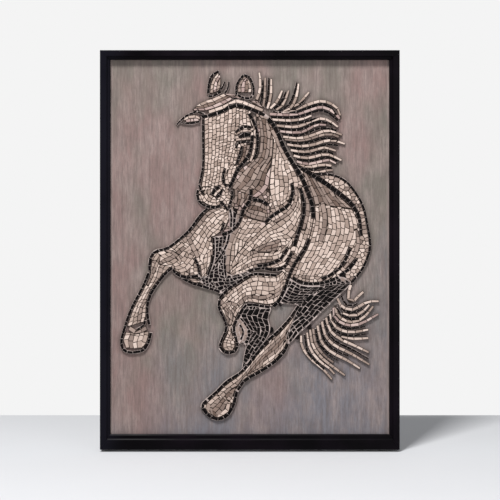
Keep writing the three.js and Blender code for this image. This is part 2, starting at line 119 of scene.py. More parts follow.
class Finish:
    """One surface finish: a material, its shader and the nodes that vary it."""

    def __init__(self, name):
        self.material = bpy.data.materials.new(name)
        self.material.use_nodes = True
        self.tree = self.material.node_tree
        self.shader = self.tree.nodes["Principled BSDF"]

    def connect(self, socket, value):
        if isinstance(value, Reading):
            self.tree.links.new(value.socket, socket)
        else:
            socket.default_value = value

    def add(self, kind, settings, inputs, output=0):
        """Adds any node: its settings first, then the values or links of its sockets."""
        made = self.tree.nodes.new(kind)
        for name, value in settings.items():
            if name == "stops":
                ramp = made.color_ramp.elements
                while len(ramp) < len(value):
                    ramp.new(0.5)
                for stop, (position, colour) in zip(ramp, value):
                    stop.position = position
                    stop.color = colour
            else:
                setattr(made, name, value)
        for name, value in inputs.items():
            self.connect(made.inputs[name], value)
        return Reading(self, made.outputs[output])

    def place(self, stretch=(1, 1, 1)):
        """Where a point is on the piece, in metres, stretched along each axis."""
        here = self.add("ShaderNodeTexCoord", {}, {}, "Object")
        return self.add("ShaderNodeVectorMath", {"operation": "MULTIPLY"}, {0: here, 1: stretch})

    def cloud(self, stretch, detail=3.0, roughness=0.55):
        """Soft noise from 0 to 1, with so many blotches to the metre along each axis."""
        inputs = {"Vector": self.place(stretch), "Scale": 1.0,
                  "Detail": detail, "Roughness": roughness}
        return self.add("ShaderNodeTexNoise", {}, inputs, "Fac")

    def band(self, value, low, high, start=0.0, end=1.0):
        """Spreads the stretch from low to high over start to end, and clamps it."""
        inputs = {"Value": value, "From Min": low, "From Max": high, "To Min": start, "To Max": end}
        return self.add("ShaderNodeMapRange", {"clamp": True}, inputs, "Result")

    def blend(self, share, first, second):
        """Mixes two colours."""
        settings = {"data_type": "RGBA"}
        return self.add("ShaderNodeMix", settings, {0: share, 6: first, 7: second}, 2)

    def relief(self, height, depth, strength=1.0):
        inputs = {"Height": height, "Distance": depth, "Strength": strength}
        return self.add("ShaderNodeBump", {}, inputs)

    def set(self, **values):
        """Sets the shader's sockets: base_color is Base Color, and so on."""
        for name, value in values.items():
            socket = name.replace("_", " ").title().replace("Ior", "IOR")
            self.connect(self.shader.inputs[socket], value)
        return self


def satin_black():
    """Black lacquer, rubbed a little in patches, with a painted bluish reflection across the left
    rail.
    """
    finish = Finish("satin_black_lacquer")
    cloud = finish.cloud((11, 11, 11))
    grain = finish.cloud((700, 700, 700), 2.0)
    # Painted reflection: a cold bluish colour mixed into the lacquer across the left rail, from
    # about x = -0.27 m outwards.
    painted_reflection = finish.add("ShaderNodeSeparateXYZ", {}, {"Vector": finish.place()}, "X")
    painted_reflection = finish.band(painted_reflection * -1.0 + cloud * 0.05, 0.27, 0.32)
    black = finish.blend(finish.band(cloud, 0.35, 0.7), LACQUER["dark"], LACQUER["rubbed"])
    colour = finish.blend(painted_reflection, black, LACQUER["painted_reflection"])
    finish.set(base_color=colour, roughness=finish.band(cloud, 0.3, 0.7, 0.34, 0.52))
    finish.set(specular_ior_level=0.05, normal=finish.relief(grain, 0.00006, 0.3))
    return finish.material


def wear(node, material):
    """Gives a rail, whose shape is already right, its finish."""
    slots = frame["nodes"][node].material_slots
    for slot in slots:
        slot.material = material


lacquer = satin_black()
for side in ("top", "left", "bottom", "right"):
    wear(f"frame_rail_{side}", lacquer)

# ---------------------------------------------------------------------------------------------
# The board: one flat wooden sheet in the frame's rebate. It is painted in greys and taupes with
# a wide dry brush, drawn up and down, so streaks and shallow ridges run from top to bottom.
# ---------------------------------------------------------------------------------------------

RIDGE_HEIGHT = 0.00018
BOARD_GRID = (144, 192)
# How far from the stones the dark wash and painted shade reach.
WASH_AND_SHADE_REACH = 0.009
PAINT = {
    "rose": (0.242, 0.163, 0.150, 1),
    "moss": (0.182, 0.160, 0.137, 1),
    "slate": (0.172, 0.166, 0.186, 1),
    "light": (0.325, 0.256, 0.236, 1),
    "dark": (0.100, 0.076, 0.070, 1),
    # The colour of the dark wash and painted shade round the stones.
    "wash_and_shade": (0.045, 0.034, 0.030, 1),
}
FIBRE = {
    "deep": (0.150, 0.085, 0.048, 1),
    "brown": (0.205, 0.125, 0.075, 1),
    "fleck": (0.34, 0.24, 0.16, 1),
}


def finish_piece(name, mesh, materials, slot, *replaced):
    """Makes a piece of the whole from a finished bmesh and hangs it on the panel."""
    data = bpy.data.meshes.new(name)
    mesh.to_mesh(data)
    mesh.free()
    for material in materials:
        data.materials.append(material)
    piece = bpy.data.objects.new(name, data)
    bpy.context.scene.collection.objects.link(piece)
    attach(piece, "root")
    if replaced:
        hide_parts(*replaced)
    return piece


def brushed_paint():
    """Rose, moss and slate paint brushed into one another, with dabs and streaks, a painted
    highlight down the side edges, and the dark wash and painted shade round the stones.
    """
    finish = Finish("brushed_taupe_paint")
    ground = finish.cloud((6, 6, 3.2), 3.0, 0.6)
    cool = finish.cloud((5.2, 9, 3.6), 4.0, 0.6)
    streaks = finish.cloud((170, 170, 15), 4.0, 0.65)
    dabs = finish.cloud((42, 42, 17), 5.0, 0.65)
    hairs = finish.cloud((800, 800, 60), 2.0, 0.6)
    weave = finish.cloud((1300, 1300, 1300), 1.0)
    across = finish.add("ShaderNodeSeparateXYZ", {}, {"Vector": finish.place()}, "X")
    down = finish.add("ShaderNodeSeparateXYZ", {}, {"Vector": finish.place()}, "Z")
    grime = finish.add("ShaderNodeAttribute", {"attribute_name": "grime"}, {}, "Fac")
    paint = finish.blend(finish.band(ground, 0.43, 0.57), PAINT["rose"], PAINT["moss"])
    low_right = finish.band(across * 0.6 - down * 1.3 + cool * 0.9, 0.62, 0.95)
    paint = finish.blend(low_right, paint, PAINT["slate"])
    paint = finish.blend(finish.band(dabs, 0.44, 0.68, 0.0, 0.6), paint, PAINT["light"])
    paint = finish.blend(finish.band(streaks, 0.56, 0.34, 0.0, 0.48), paint, PAINT["dark"])
    scratches = finish.band(hairs * 0.6 + weave * 0.4, 0.56, 0.38, 0.0, 0.45)
    paint = finish.blend(scratches, paint, PAINT["dark"])
    # A thin painted highlight in pale paint down the board's left and right edges, beside the
    # frame.
    edge = finish.add("ShaderNodeMath", {"operation": "ABSOLUTE"}, {0: across})
    edge = finish.band(edge, 0.2745, 0.2785) * finish.band(streaks, 0.35, 0.55, 0.2, 0.8)
    paint = finish.blend(edge, paint, PAINT["light"])
    # Dark wash and painted shade: the board darkens towards the stones.
    paint = finish.blend(grime * 0.75, paint, PAINT["wash_and_shade"])
    finish.set(base_color=paint, roughness=finish.band(streaks, 0.3, 0.7, 0.66, 0.85))
    finish.set(specular_ior_level=0.25)
    finish.set(normal=finish.relief(streaks * 0.5 + hairs * 0.3 + weave * 0.2, 0.0006, 0.6))
    return finish.material


def bare_hardboard():
    """The unpainted back: pressed brown fibre, with paler flecks."""
    finish = Finish("bare_hardboard")
    fibre = finish.cloud((260, 260, 180), 5.0, 0.7)
    cloud = finish.cloud((7, 7, 7))
    brown = finish.blend(finish.band(cloud, 0.35, 0.65), FIBRE["deep"], FIBRE["brown"])
    flecked = finish.blend(finish.band(fibre, 0.5, 0.72, 0.0, 0.55), brown, FIBRE["fleck"])
    finish.set(base_color=flecked, roughness=finish.band(fibre, 0.3, 0.7, 0.75, 0.92))
    finish.set(normal=finish.relief(fibre, 0.0004, 0.5))
    return finish.material


def ridge(x, z):
    """How far the paint stands up at a place, as ridges drawn from top to bottom."""
    broad = noise.noise(Vector((x * 60, 0, z * 5)))
    fine = noise.noise(Vector((x * 260, 4, z * 14)))
    return RIDGE_HEIGHT * (broad + 0.7 * fine)


def painted_board():
    """A sheet with a fine grid on its front, raised into brush ridges, and a plain flat back."""
    low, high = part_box("backing_board")
    size = high - low
    middle = (low + high) / 2
    mesh = bmesh.new()
    bmesh.ops.create_grid(mesh, x_segments=BOARD_GRID[0], y_segments=BOARD_GRID[1], size=0.5)
    for vert in mesh.verts:
        x = middle.x + vert.co.x * size.x
        z = middle.z + vert.co.y * size.z
        vert.co = Vector((x, low.y + RIDGE_HEIGHT + ridge(x, z), z))
    back = bmesh.ops.extrude_face_region(mesh, geom=mesh.faces[:], use_keep_orig=True)["geom"]
    for vert in back:
        if isinstance(vert, bmesh.types.BMVert):
            vert.co.y = high.y
    bmesh.ops.recalc_face_normals(mesh, faces=mesh.faces)
    flat = [face for face in mesh.faces if all(vert.co.y > high.y - 1e-6 for vert in face.verts)]
    bmesh.ops.dissolve_faces(mesh, faces=flat)
    for face in mesh.faces:
        face.material_index = int(face.normal.y > 0.5)
    # This attribute carries the dark wash and painted shade round the stones, set once they are
    # laid.
    mesh.verts.layers.float.new("grime")
    finishes = [brushed_paint(), bare_hardboard()]
    return finish_piece("painted_board", mesh, finishes, "taupe_board", "backing_board")


board = painted_board()

# ---------------------------------------------------------------------------------------------
# The outline: rows of split black stone, with a few pale ones, pressed one after another into a
# bead of pale grout along the drawn lines of the horse. They go down before the areas between.
# ---------------------------------------------------------------------------------------------

JOINT = 0.0014
ROW_JOINT = 0.0011
SMALLEST_STONE = 0.000005
NARROWEST_COURSE = 0.0012
FIELD_SLANT, ROW_SLANT = 0.0013, 0.0007
ADHESIVE_TOP = 0.0019
GROUT_TOP = 0.0036
OUTLINE_BED = (0.0032, 0.0008)
HAIR_BED = (0.0024, 0.0005)
SLOPE = 0.0008
ROOM = 0.0019
STONE_TOP = (0.0039, 0.0047)
ARRIS = (0.0005, 0.0003)
BOARD_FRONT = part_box("backing_board")[0].y
KINDS = ["cream", "pink", "taupe", "brown"]


def curve_through(points):
    """A smooth curve through places given in millimetres from the middle of the panel."""
    place = np.array(points, float) * 0.001
    ends = np.vstack([2 * place[0] - place[1], place, 2 * place[-1] - place[-2]])
    share = np.linspace(0, 1, 10, endpoint=False)[:, None]
    bends = []
    for a, b, c, d in zip(ends, ends[1:], ends[2:], ends[3:]):
        square, cube = share ** 2, share ** 3
        bends.append(b + ((c - a) * share + (2 * a - 5 * b + 4 * c - d) * square
                          + (3 * b - a - 3 * c + d) * cube) / 2)
    return evenly(np.vstack(bends + [place[-1:]]), 0.0015)


def run_of(curve):
    """How far along a curve each of its places is."""
    return np.concatenate([[0], np.cumsum(np.linalg.norm(np.diff(curve, axis=0), axis=1))])


def point_on(curve, run, where):
    return np.stack([np.interp(where, run, curve[:, 0]), np.interp(where, run, curve[:, 1])], -1)


def evenly(curve, step=None, count=None):
    run = run_of(curve)
    count = count or max(6, round(run[-1] / step) + 1)
    return point_on(curve, run, np.linspace(0, run[-1], count))


def side_of(curve):
    """The direction square to a curve, at each of its places."""
    along = np.gradient(curve, axis=0)
    along /= np.linalg.norm(along, axis=1)[:, None] + 1e-12
    return np.stack([-along[:, 1], along[:, 0]], -1)


class Guard:
    """Stone already laid, which later stones are nibbled back from by a joint."""

    def __init__(self, curve, half_width, closed):
        self.curve = curve
        self.half_width = half_width
        self.closed = closed
        reach = np.max(half_width) + 0.012
        self.low = curve.min(axis=0) - reach
        self.high = curve.max(axis=0) + reach

    def holds(self, places):
        """Which of some places are inside a closed outline."""
        start, end = self.curve, np.roll(self.curve, -1, axis=0)
        across, up = places[..., 0, None], places[..., 1, None]
        crossed = (start[:, 1] > up) != (end[:, 1] > up)
        rise = np.where(start[:, 1] == end[:, 1], 1, end[:, 1] - start[:, 1])
        meets = (end[:, 0] - start[:, 0]) * (up - start[:, 1]) / rise + start[:, 0]
        return np.sum(crossed & (across < meets), axis=-1) % 2 == 1

    def cut_for(self, place, radius):
        """Where a stone at this place is cut, or that it has no room at all."""
        if np.any(place < self.low) or np.any(place > self.high):
            return None
        offset = place - self.curve
        distance = np.hypot(offset[:, 0], offset[:, 1])
        nearest = int(np.argmin(distance - self.half_width))
        if self.closed and self.holds(place):
            return "no room"
        if distance[nearest] - self.half_width[nearest] > radius + JOINT:
            return None
        if not self.closed and distance[nearest] < self.half_width[nearest] * 0.8:
            return "no room"
        away = offset[nearest] / (distance[nearest] + 1e-9)
        gap = JOINT * (0.5 if self.closed else 0.8)
        return self.curve[nearest] + away * (self.half_width[nearest] + gap), away


def nearest_edge(stone, places):
    """How far some places are from a laid stone, and the nearest point of its edge to each."""
    start, side = stone, np.roll(stone, -1, axis=0) - stone
    offset = places[:, None, :] - start
    share = np.clip((offset * side).sum(-1) / ((side ** 2).sum(-1) + 1e-12), 0, 1)
    nearest = start + side * share[..., None]
    gaps = np.linalg.norm(places[:, None, :] - nearest, axis=-1)
    turn = side[:, 0] * offset[..., 1] - side[:, 1] * offset[..., 0]
    inside = (turn > 0).all(axis=1) | (turn < 0).all(axis=1)
    each, best = np.arange(len(places)), gaps.argmin(axis=1)
    return np.where(inside, 0, gaps[each, best]), nearest[each, best]


class Area:
    """One area of the picture: its stones, and the bed that they are pressed into."""

    guards = []
    laid = []
    carrier = bpy.data.meshes.new("carrier")

    def __init__(self, name, seed, slot="cream_stone"):
        self.name = name
        self.slot = slot
        self.hair = name.startswith(("mane", "tail"))
        self.chance = random.Random(seed)
        self.light = bmesh.new()
        self.black = bmesh.new()
        self.bed = bmesh.new()
        for mesh in (self.light, self.black):
            mesh.verts.layers.float.new("tone")

    def spread(self, near, far, margin, top, material):
        """Trowels a strip of adhesive or grout, with sloping sides, between two edges."""
        middle, half = (near + far) / 2, (far - near) / 2
        reach = np.linalg.norm(half, axis=1)[:, None]
        square = side_of(middle)
        square *= np.sign(np.sum(square * half, axis=1) + 1e-12)[:, None]
        across = np.where(reach > 0.0008, half / (reach + 1e-9), square)
        last = len(middle) - 1
        strip = bmesh.new()
        bmesh.ops.create_grid(strip, x_segments=last + 2, y_segments=3, size=0.5)
        for vert in strip.verts:
            column = round((vert.co.x + 0.5) * (last + 2))
            row = round((vert.co.y + 0.5) * 3)
            at = min(max(column - 1, 0), last)
            end = column in (0, last + 2)
            rim = end or row in (0, 3)
            ragged = 0.0004 * noise.noise(Vector((at * 0.7, row * 9.1, reach[at, 0] * 900)))
            out = float(reach[at, 0]) + margin + ragged - (0.0 if row in (0, 3) else SLOPE)
            place = middle[at] + across[at] * out * (1 if row > 1 else -1)
            if end:
                along = middle[0] - middle[1] if column == 0 else middle[-1] - middle[-2]
                place = place + along / (np.linalg.norm(along) + 1e-9) * (margin + ragged)
            lift = 0.0002 if rim else top + 0.35 * ragged
            vert.co = (place[0], BOARD_FRONT - lift, place[1])
        for face in strip.faces:
            face.material_index = material
        self.join(strip, self.bed, bottom=True)

    def join(self, strip, mesh, bottom=False):
        """Adds a strip to one of the area's meshes, closed underneath where that is wanted."""
        if bottom:
            raised = bmesh.ops.extrude_face_region(strip, geom=strip.faces[:], use_keep_orig=True)
            for vert in raised["geom"]:
                if isinstance(vert, bmesh.types.BMVert):
                    vert.co.y = BOARD_FRONT + 0.0002
            bmesh.ops.recalc_face_normals(strip, faces=strip.faces[:])
        strip.to_mesh(self.carrier)
        strip.free()
        mesh.from_mesh(self.carrier)

    def staggered(self, total, length, joint):
        """Where stones start and end along a course whose joints break with the next course's."""
        cuts = []
        start = -self.chance.uniform(0.0, 0.8) * length
        while start < total:
            stone = length * self.chance.uniform(0.62, 1.35)
            first, last = max(start, 0) + joint / 2, min(start + stone, total) - joint / 2
            start += stone
            if last - first > 0.002:
                cuts += [first, last]
        return cuts

    def even(self, total, length, joint):
        """Where stones start and end along a row that is shared out from end to end."""
        count = max(1, round(total / length))
        shares = [0] + [(k + self.chance.uniform(-0.2, 0.2)) / count for k in range(1, count)] + [1]
        cuts = []
        for first, last in zip(shares, shares[1:]):
            cuts += [first * total + joint / 2 * (first > 0), last * total - joint / 2 * (last < 1)]
        return cuts

    def course(self, kind, near, far, length, cutting, rough, joint=JOINT):
        """Lays one course of stones between two edges, with a joint left at each side of it."""
        middle = (near + far) / 2
        run = run_of(middle)
        cuts = cutting(run[-1], length, joint)
        columns = len(cuts)
        if columns < 2:
            return
        strip = bmesh.new()
        tone = strip.verts.layers.float.new("tone")
        bmesh.ops.create_grid(strip, x_segments=columns - 1, y_segments=1, size=0.5)
        joints = []
        for face in strip.faces:
            if round((face.calc_center_median().x + 0.5) * (columns - 1) - 0.5) % 2:
                joints.append(face)
        bmesh.ops.delete(strip, geom=joints, context="FACES")
        slants = [self.chance.uniform(-rough, rough) for joint in range(columns // 2 + 1)]
        for vert in strip.verts:
            column = round((vert.co.x + 0.5) * (columns - 1))
            slant = slants[(column + 1) // 2] * (1 if vert.co.y > 0 else -1)
            where = cuts[column] + slant + self.chance.uniform(-0.0003, 0.0003)
            edge = far if vert.co.y > 0 else near
            place = point_on(edge, run, where)
            vert.co = (place[0], BOARD_FRONT, place[1])
        bmesh.ops.dissolve_degenerate(strip, edges=strip.edges, dist=0.0003)
        for stone in strip.faces[:]:
            self.lay(self.fit(strip, stone), tone, kind)
        self.join(strip, self.black if kind == "black" else self.light)

    def lay(self, stone, tone, kind):
        """Gives a cut stone its kind and shade, and remembers where it lies."""
        if not stone:
            return
        stone.material_index = KINDS.index(kind) if kind in KINDS else 0
        shade = self.chance.random()
        for vert in stone.verts:
            vert[tone] = shade
        Area.laid.append(np.array([(vert.co.x, vert.co.z) for vert in stone.verts]))

    def fit(self, strip, stone):
        """Nibbles one stone back from its neighbours, and drops it where no room is left."""
        middle = stone.calc_center_median()
        place = np.array((middle.x, middle.z))
        radius = max((vert.co - middle).length for vert in stone.verts)
        for guard in Area.guards:
            cut = guard.cut_for(place, radius)
            if cut is None:
                continue
            if cut == "no room":
                bmesh.ops.delete(strip, geom=[stone], context="FACES")
                return None
            stone = self.trim(strip, stone, *cut)
            if not stone:
                return None
        if stone.calc_area() < SMALLEST_STONE:
            bmesh.ops.delete(strip, geom=[stone], context="FACES")
            return None
        return stone

    def row(self, kind, widths, points, length):
        """One row of stones along a line. Its width may be given at several places along it."""
        curve = curve_through(points)
        widths = np.atleast_1d(widths) * 0.001
        half = np.interp(np.linspace(0, 1, len(curve)), np.linspace(0, 1, len(widths)), widths) / 2
        reach = side_of(curve) * half[:, None]
        self.course(kind, curve - reach, curve + reach, length * 0.001,
                    self.even, ROW_SLANT, ROW_JOINT)
        Area.guards.append(Guard(curve, half, False))
        coarse = evenly(curve, 0.004)
        half = np.interp(np.linspace(0, 1, len(coarse)), np.linspace(0, 1, len(widths)), widths) / 2
        reach = side_of(coarse) * half[:, None]
        if kind == "black":
            top, margin = HAIR_BED if self.hair else OUTLINE_BED
            self.spread(coarse - reach, coarse + reach, margin, top, 1)
        else:
            self.spread(coarse - reach, coarse + reach, SLOPE, ADHESIVE_TOP, 0)

    def field(self, kinds, pitch, length, near, far):
        """Courses side by side between two edges: their kinds follow one another and repeat."""
        near, far = curve_through(near), curve_through(far)
        count = max(len(near), len(far))
        near, far = evenly(near, count=count), evenly(far, count=count)
        reach = np.linalg.norm(far - near, axis=1)
        courses = max(1, round((reach.max() * 0.55 + reach.mean() * 0.45) * 1000 / pitch))
        width = np.maximum(reach / courses, min(pitch * 0.00085, reach.max()))
        across = (far - near) / (reach + 1e-9)[:, None]
        along = run_of((near + far) / 2)
        edges = [reach * 0]
        for number in range(1, courses):
            wave = np.sin(along / self.chance.uniform(0.004, 0.008) + self.chance.uniform(0, 6.3))
            edge = width * (number + 0.11 * wave)
            edges.append(edge + (reach - edge) * np.clip(1.6 - 2 * (reach - edge) / width, 0, 1))
        edges.append(reach)
        for number in range(courses):
            low, high = edges[number], edges[number + 1]
            narrow = high - low < JOINT + NARROWEST_COURSE
            low = np.where(narrow, (low + high) / 2, low + JOINT / 2)[:, None]
            high = np.where(narrow, low[:, 0], high - JOINT / 2)[:, None]
            kind = kinds[number % len(kinds)]
            self.course(kind, near + across * low, near + across * high,
                        length * 0.001, self.staggered, FIELD_SLANT)
        Area.guards.append(Guard(np.vstack([near, far[::-1]]), np.zeros(2 * count), True))
        coarse = max(4, round(run_of(near)[-1] / 0.006))
        pale = set(kinds) == {"black"}
        self.spread(evenly(near, count=coarse), evenly(far, count=coarse), 0.0006,
                    GROUT_TOP if pale else ADHESIVE_TOP, 1 if pale else 0)

    def fill(self, kinds, size, outline):
        """Fits odd chips into what is still bare inside an outline, as the last stones are."""
        rim = curve_through(outline + outline[:1])[:-1]
        inside = Guard(rim, np.zeros(len(rim)), True)
        low, high = rim.min(axis=0), rim.max(axis=0)
        steps = [np.arange(low[axis], high[axis], 0.0012) for axis in (0, 1)]
        places = np.stack(np.meshgrid(*steps), -1).reshape(-1, 2)
        places = places[inside.holds(places)]
        close = [stone for stone in Area.laid
                 if (stone.max(axis=0) > low - 0.01).all()
                 and (stone.min(axis=0) < high + 0.01).all()]
        for stone in close:
            near = (places > stone.min(axis=0) - ROOM) & (places < stone.max(axis=0) + ROOM)
            near = near.all(axis=1)
            if near.any():
                bare = np.ones(len(places), bool)
                bare[near] = nearest_edge(stone, places[near])[0] > ROOM
                places = places[bare]
        size = size * 0.001
        seeds = np.zeros((0, 2))
        from_below = [place[1] + self.chance.uniform(0, 0.6) * size for place in places]
        for place in places[np.argsort(from_below, kind="stable")]:
            if not len(seeds) or np.abs(seeds - place).max(axis=1).min() > size * 0.8:
                seeds = np.vstack([seeds, place])
        shift = [[self.chance.uniform(-0.14, 0.14) * size for axis in (0, 1)] for seed in seeds]
        seeds = seeds + np.array(shift).reshape(-1, 2)
        strip = bmesh.new()
        tone = strip.verts.layers.float.new("tone")
        for place in seeds:
            self.chip(strip, tone, place, seeds, size, close + [rim], self.chance.choice(kinds))
        self.join(strip, self.black if kinds[0] == "black" else self.light)
        Area.guards.append(inside)
        pale = kinds[0] == "black"
        sheet = bmesh.new()
        level = BOARD_FRONT - (GROUT_TOP if pale else ADHESIVE_TOP)
        sheet.faces.new([sheet.verts.new((x, level, z)) for x, z in evenly(rim, 0.004)])
        sheet.normal_update()
        bmesh.ops.triangulate(sheet, faces=sheet.faces[:])
        for face in sheet.faces:
            face.material_index = int(pale)
        self.join(sheet, self.bed, bottom=True)

    def chip(self, strip, tone, place, seeds, size, close, kind):
        """One odd chip, cut to meet the chips round it, the stones already laid and the rim."""
        made = bmesh.ops.create_circle(strip, cap_ends=True, segments=8, radius=size * 0.85)
        stone = made["verts"][0].link_faces[0]
        for vert in made["verts"]:
            vert.co = (place[0] + vert.co.x, BOARD_FRONT, place[1] + vert.co.y)
        offset = seeds - place
        distance = np.hypot(offset[:, 0], offset[:, 1])
        cuts = []
        for other in np.argsort(distance)[1:9]:
            if distance[other] < size * 1.7:
                away = offset[other] / distance[other]
                cuts.append((place + away * (distance[other] - JOINT) / 2, -away))
        for other in close:
            if other is close[-1] or np.abs(other[0] - place).max() < 0.04:
                nearest = nearest_edge(other, place[None])[1][0]
                gap = np.linalg.norm(place - nearest)
                if 1e-6 < gap < size:
                    away = (place - nearest) / gap
                    cuts.append((nearest + away * JOINT * 0.75, away))
        for point, away in cuts:
            stone = self.trim(strip, stone, point, away)
            if not stone:
                return
        if stone.calc_area() < SMALLEST_STONE:
            bmesh.ops.delete(strip, geom=[stone], context="FACES")
            return
        self.lay(stone, tone, kind)

    def trim(self, strip, stone, point, away):
        """Cuts a stone straight through a place, keeping the part on one side."""
        parts = [stone] + list(stone.verts) + list(stone.edges)
        kept = bmesh.ops.bisect_plane(
            strip, geom=parts, dist=1e-6, clear_outer=True,
            plane_co=(point[0], BOARD_FRONT, point[1]), plane_no=(-away[0], 0, -away[1]))
        left = [part for part in kept["geom"] if isinstance(part, bmesh.types.BMFace)]
        return left[0] if left else None

    def finish(self, *nodes):
        """Gives the stones their thickness and hangs the area's pieces on the panel."""
        nodes = nodes or (f"{self.name}_stones",)
        if self.light.faces:
            thicken(self.light, self.chance)
            finish_piece(f"{self.name}_light_stones", self.light, light_stone,
                         "cream_stone", *nodes)
        if self.black.faces:
            thicken(self.black, self.chance)
            finish_piece(f"{self.name}_black_stones", self.black, [black_stone],
                         "black_stone", *nodes)
        finish_piece(f"{self.name}_bed", self.bed, [adhesive, grout], self.slot, *nodes)


def thicken(flats, chance):
    """Turns cut outlines into stones with uneven, tilted heads and chipped arrises."""
    raised = bmesh.ops.extrude_face_region(flats, geom=flats.faces[:], use_keep_orig=True)["geom"]
    heads = [part for part in raised if isinstance(part, bmesh.types.BMFace)]
    for head in heads:
        middle = head.calc_center_median()
        top = chance.uniform(*STONE_TOP)
        lean, tip = chance.gauss(0, 0.035), chance.gauss(0, 0.035)
        for vert in head.verts:
            tilt = lean * (vert.co.x - middle.x) + tip * (vert.co.z - middle.z)
            vert.co.y = BOARD_FRONT - top + min(max(tilt, -0.0004), 0.0004)
    bmesh.ops.recalc_face_normals(flats, faces=flats.faces[:])
    bmesh.ops.inset_individual(flats, faces=heads, thickness=ARRIS[0], depth=ARRIS[1],
                               use_even_offset=True)


def split_stone(name, dark, middle, pale, roughness):
    """Marble split by hammer: each stone has its own shade, clouded and faintly pitted."""
    finish = Finish(name)
    tone = finish.add("ShaderNodeAttribute", {"attribute_name": "tone"}, {}, "Fac")
    cloud = finish.cloud((160, 160, 160), 3.0)
    grit = finish.cloud((1500, 1500, 1500), 2.0)
    ramp = {"stops": [(0.0, dark), (0.45, middle), (1.0, pale)]}
    shade = finish.add("ShaderNodeValToRGB", ramp, {"Fac": tone * 0.72 + cloud * 0.28}, "Color")
    pitted = finish.blend(finish.band(grit, 0.42, 0.3, 0.0, 0.35), shade, dark)
    finish.set(base_color=pitted, roughness=finish.band(cloud, 0.3, 0.7, *roughness))
    finish.set(normal=finish.relief(cloud * 0.7 + grit * 0.3, 0.0005, 0.6))
    finish.set(specular_ior_level=0.08)
    return finish.material


def mortar(name, dark, pale):
    """Adhesive or grout, sandy and unevenly dried."""
    finish = Finish(name)
    cloud = finish.cloud((90, 90, 90), 3.0)
    sand = finish.cloud((1900, 1900, 1900), 2.0)
    dry = finish.band(cloud * 0.6 + sand * 0.4, 0.35, 0.65)
    finish.set(base_color=finish.blend(dry, dark, pale))
    finish.set(roughness=0.9, normal=finish.relief(sand, 0.0003, 0.5))
    return finish.material


light_stone = [
    split_stone("cream_marble", (0.22, 0.160, 0.130, 1), (0.48, 0.370, 0.315, 1),
                (0.70, 0.570, 0.500, 1), (0.5, 0.7)),
    split_stone("pink_marble", (0.21, 0.140, 0.125, 1), (0.38, 0.275, 0.250, 1),
                (0.60, 0.475, 0.430, 1), (0.5, 0.7)),
    split_stone("taupe_limestone", (0.15, 0.108, 0.090, 1), (0.255, 0.190, 0.162, 1),
                (0.39, 0.295, 0.250, 1), (0.6, 0.8)),
    split_stone("brown_limestone", (0.10, 0.066, 0.052, 1), (0.170, 0.118, 0.096, 1),
                (0.27, 0.195, 0.162, 1), (0.6, 0.8)),
]
black_stone = split_stone("black_marble", (0.0008, 0.0004, 0.0005, 1), (0.0018, 0.0009, 0.0010, 1),
                          (0.0070, 0.0042, 0.0042, 1), (0.4, 0.65))
# The adhesive is very dark brown: partly its own colour, partly painted shade in the deep joints
# between the light stones and round the hair strands.
adhesive = mortar("dark_adhesive_and_painted_shade", (0.012, 0.007, 0.005, 1), (0.040, 0.024, 0.017, 1))
grout = mortar("pale_grout", (0.30, 0.235, 0.215, 1), (0.54, 0.445, 0.41, 1))

head = Area("head", 1)
neck = Area("neck", 2)
forelock = Area("forelock", 3)
left_ear = Area("left_ear", 4)
right_ear = Area("right_ear", 5)
barrel = Area("barrel", 6)
croup = Area("croup", 7)
shoulder = Area("shoulder", 8)
chest = Area("chest", 9, "black_stone")
near_foreleg = Area("near_foreleg", 10)
far_foreleg = Area("far_foreleg", 11)
belly_and_thigh = Area("belly_and_thigh", 12, "black_stone")
far_hind_leg = Area("far_hind_leg", 13, "black_stone")
near_hind_leg = Area("near_hind_leg", 14)

head.row("black", 6, [(-97, 267), (-62, 275), (-30, 291), (0, 283), (30, 271)], 15)
forelock.row("cream", 5.5, [(-82, 277), (-50, 288), (-28, 299), (0, 291), (26, 280)], 15)
head.row("black", 3.5, [(-104, 277), (-90, 272), (-97, 266)], 9)
head.row("black", 4, [(-94, 262), (-94, 225), (-94, 170), (-101, 134)], 12)
head.row("black", 4, [(-102, 131), (-98, 120), (-93, 112)], 9)
head.row("black", 4.5, [(-104, 121), (-106, 109), (-101, 97), (-88, 88), (-70, 85), (-58, 89)], 10)
head.row("black", 4, [(-50, 161), (-54, 147), (-52, 134), (-46, 127)], 9)
head.row("black", 5.5, [(5, 230), (3, 205), (-6, 182), (-22, 165), (-32, 143), (-42, 124)], 12)
head.row("black", [3, 5, 3], [(-16, 208), (-20, 190), (-27, 172)], 10)
head.row("black", [5.5, 5, 5, 3.5], [(-1, 273), (12, 248), (16, 218), (14, 196), (8, 182)], 13)
head.row("black", [4, 10, 10, 5], [(-22, 227), (-12, 231), (2, 232)], 12)
head.row("black", [3, 4.5, 4], [(-28, 236), (-14, 247), (4, 246)], 10)
head.row("cream", [3, 4, 3], [(-28, 232), (-13, 239.5), (4, 238.5)], 9)
head.row("cream", [3, 4, 3.5], [(-28, 221), (-12, 223), (3, 224.5)], 9)
head.row("black", [3, 4, 3], [(-28, 205), (-23, 215), (-10, 217), (1, 216)], 9)
head.row("black", [4, 7, 5], [(-76, 112), (-71, 121), (-61, 127)], 9)
head.row("black", [4, 6, 3], [(-67, 106), (-59, 112), (-55, 121)], 9)
head.row("cream", 4, [(-71, 109), (-65, 117), (-59, 121)], 9)
head.row("black", 4, [(-58, 97), (-50, 88), (-44, 80)], 9)
head.row("black", 4, [(-36, 120), (-35, 108), (-39, 95), (-43, 82)], 10)
left_ear.row("black", 4.5, [(-84, 314), (-82, 334), (-76, 351), (-62, 359)], 11)
left_ear.row("black", 4, [(-83, 309), (-70, 310), (-58, 319)], 10)
left_ear.row("black", [4, 3.5, 2], [(-58, 322), (-53, 330), (-50, 339)], 9)
left_ear.row("black", [3.5, 3.5, 2], [(-50, 315), (-44, 325), (-42, 339)], 9)
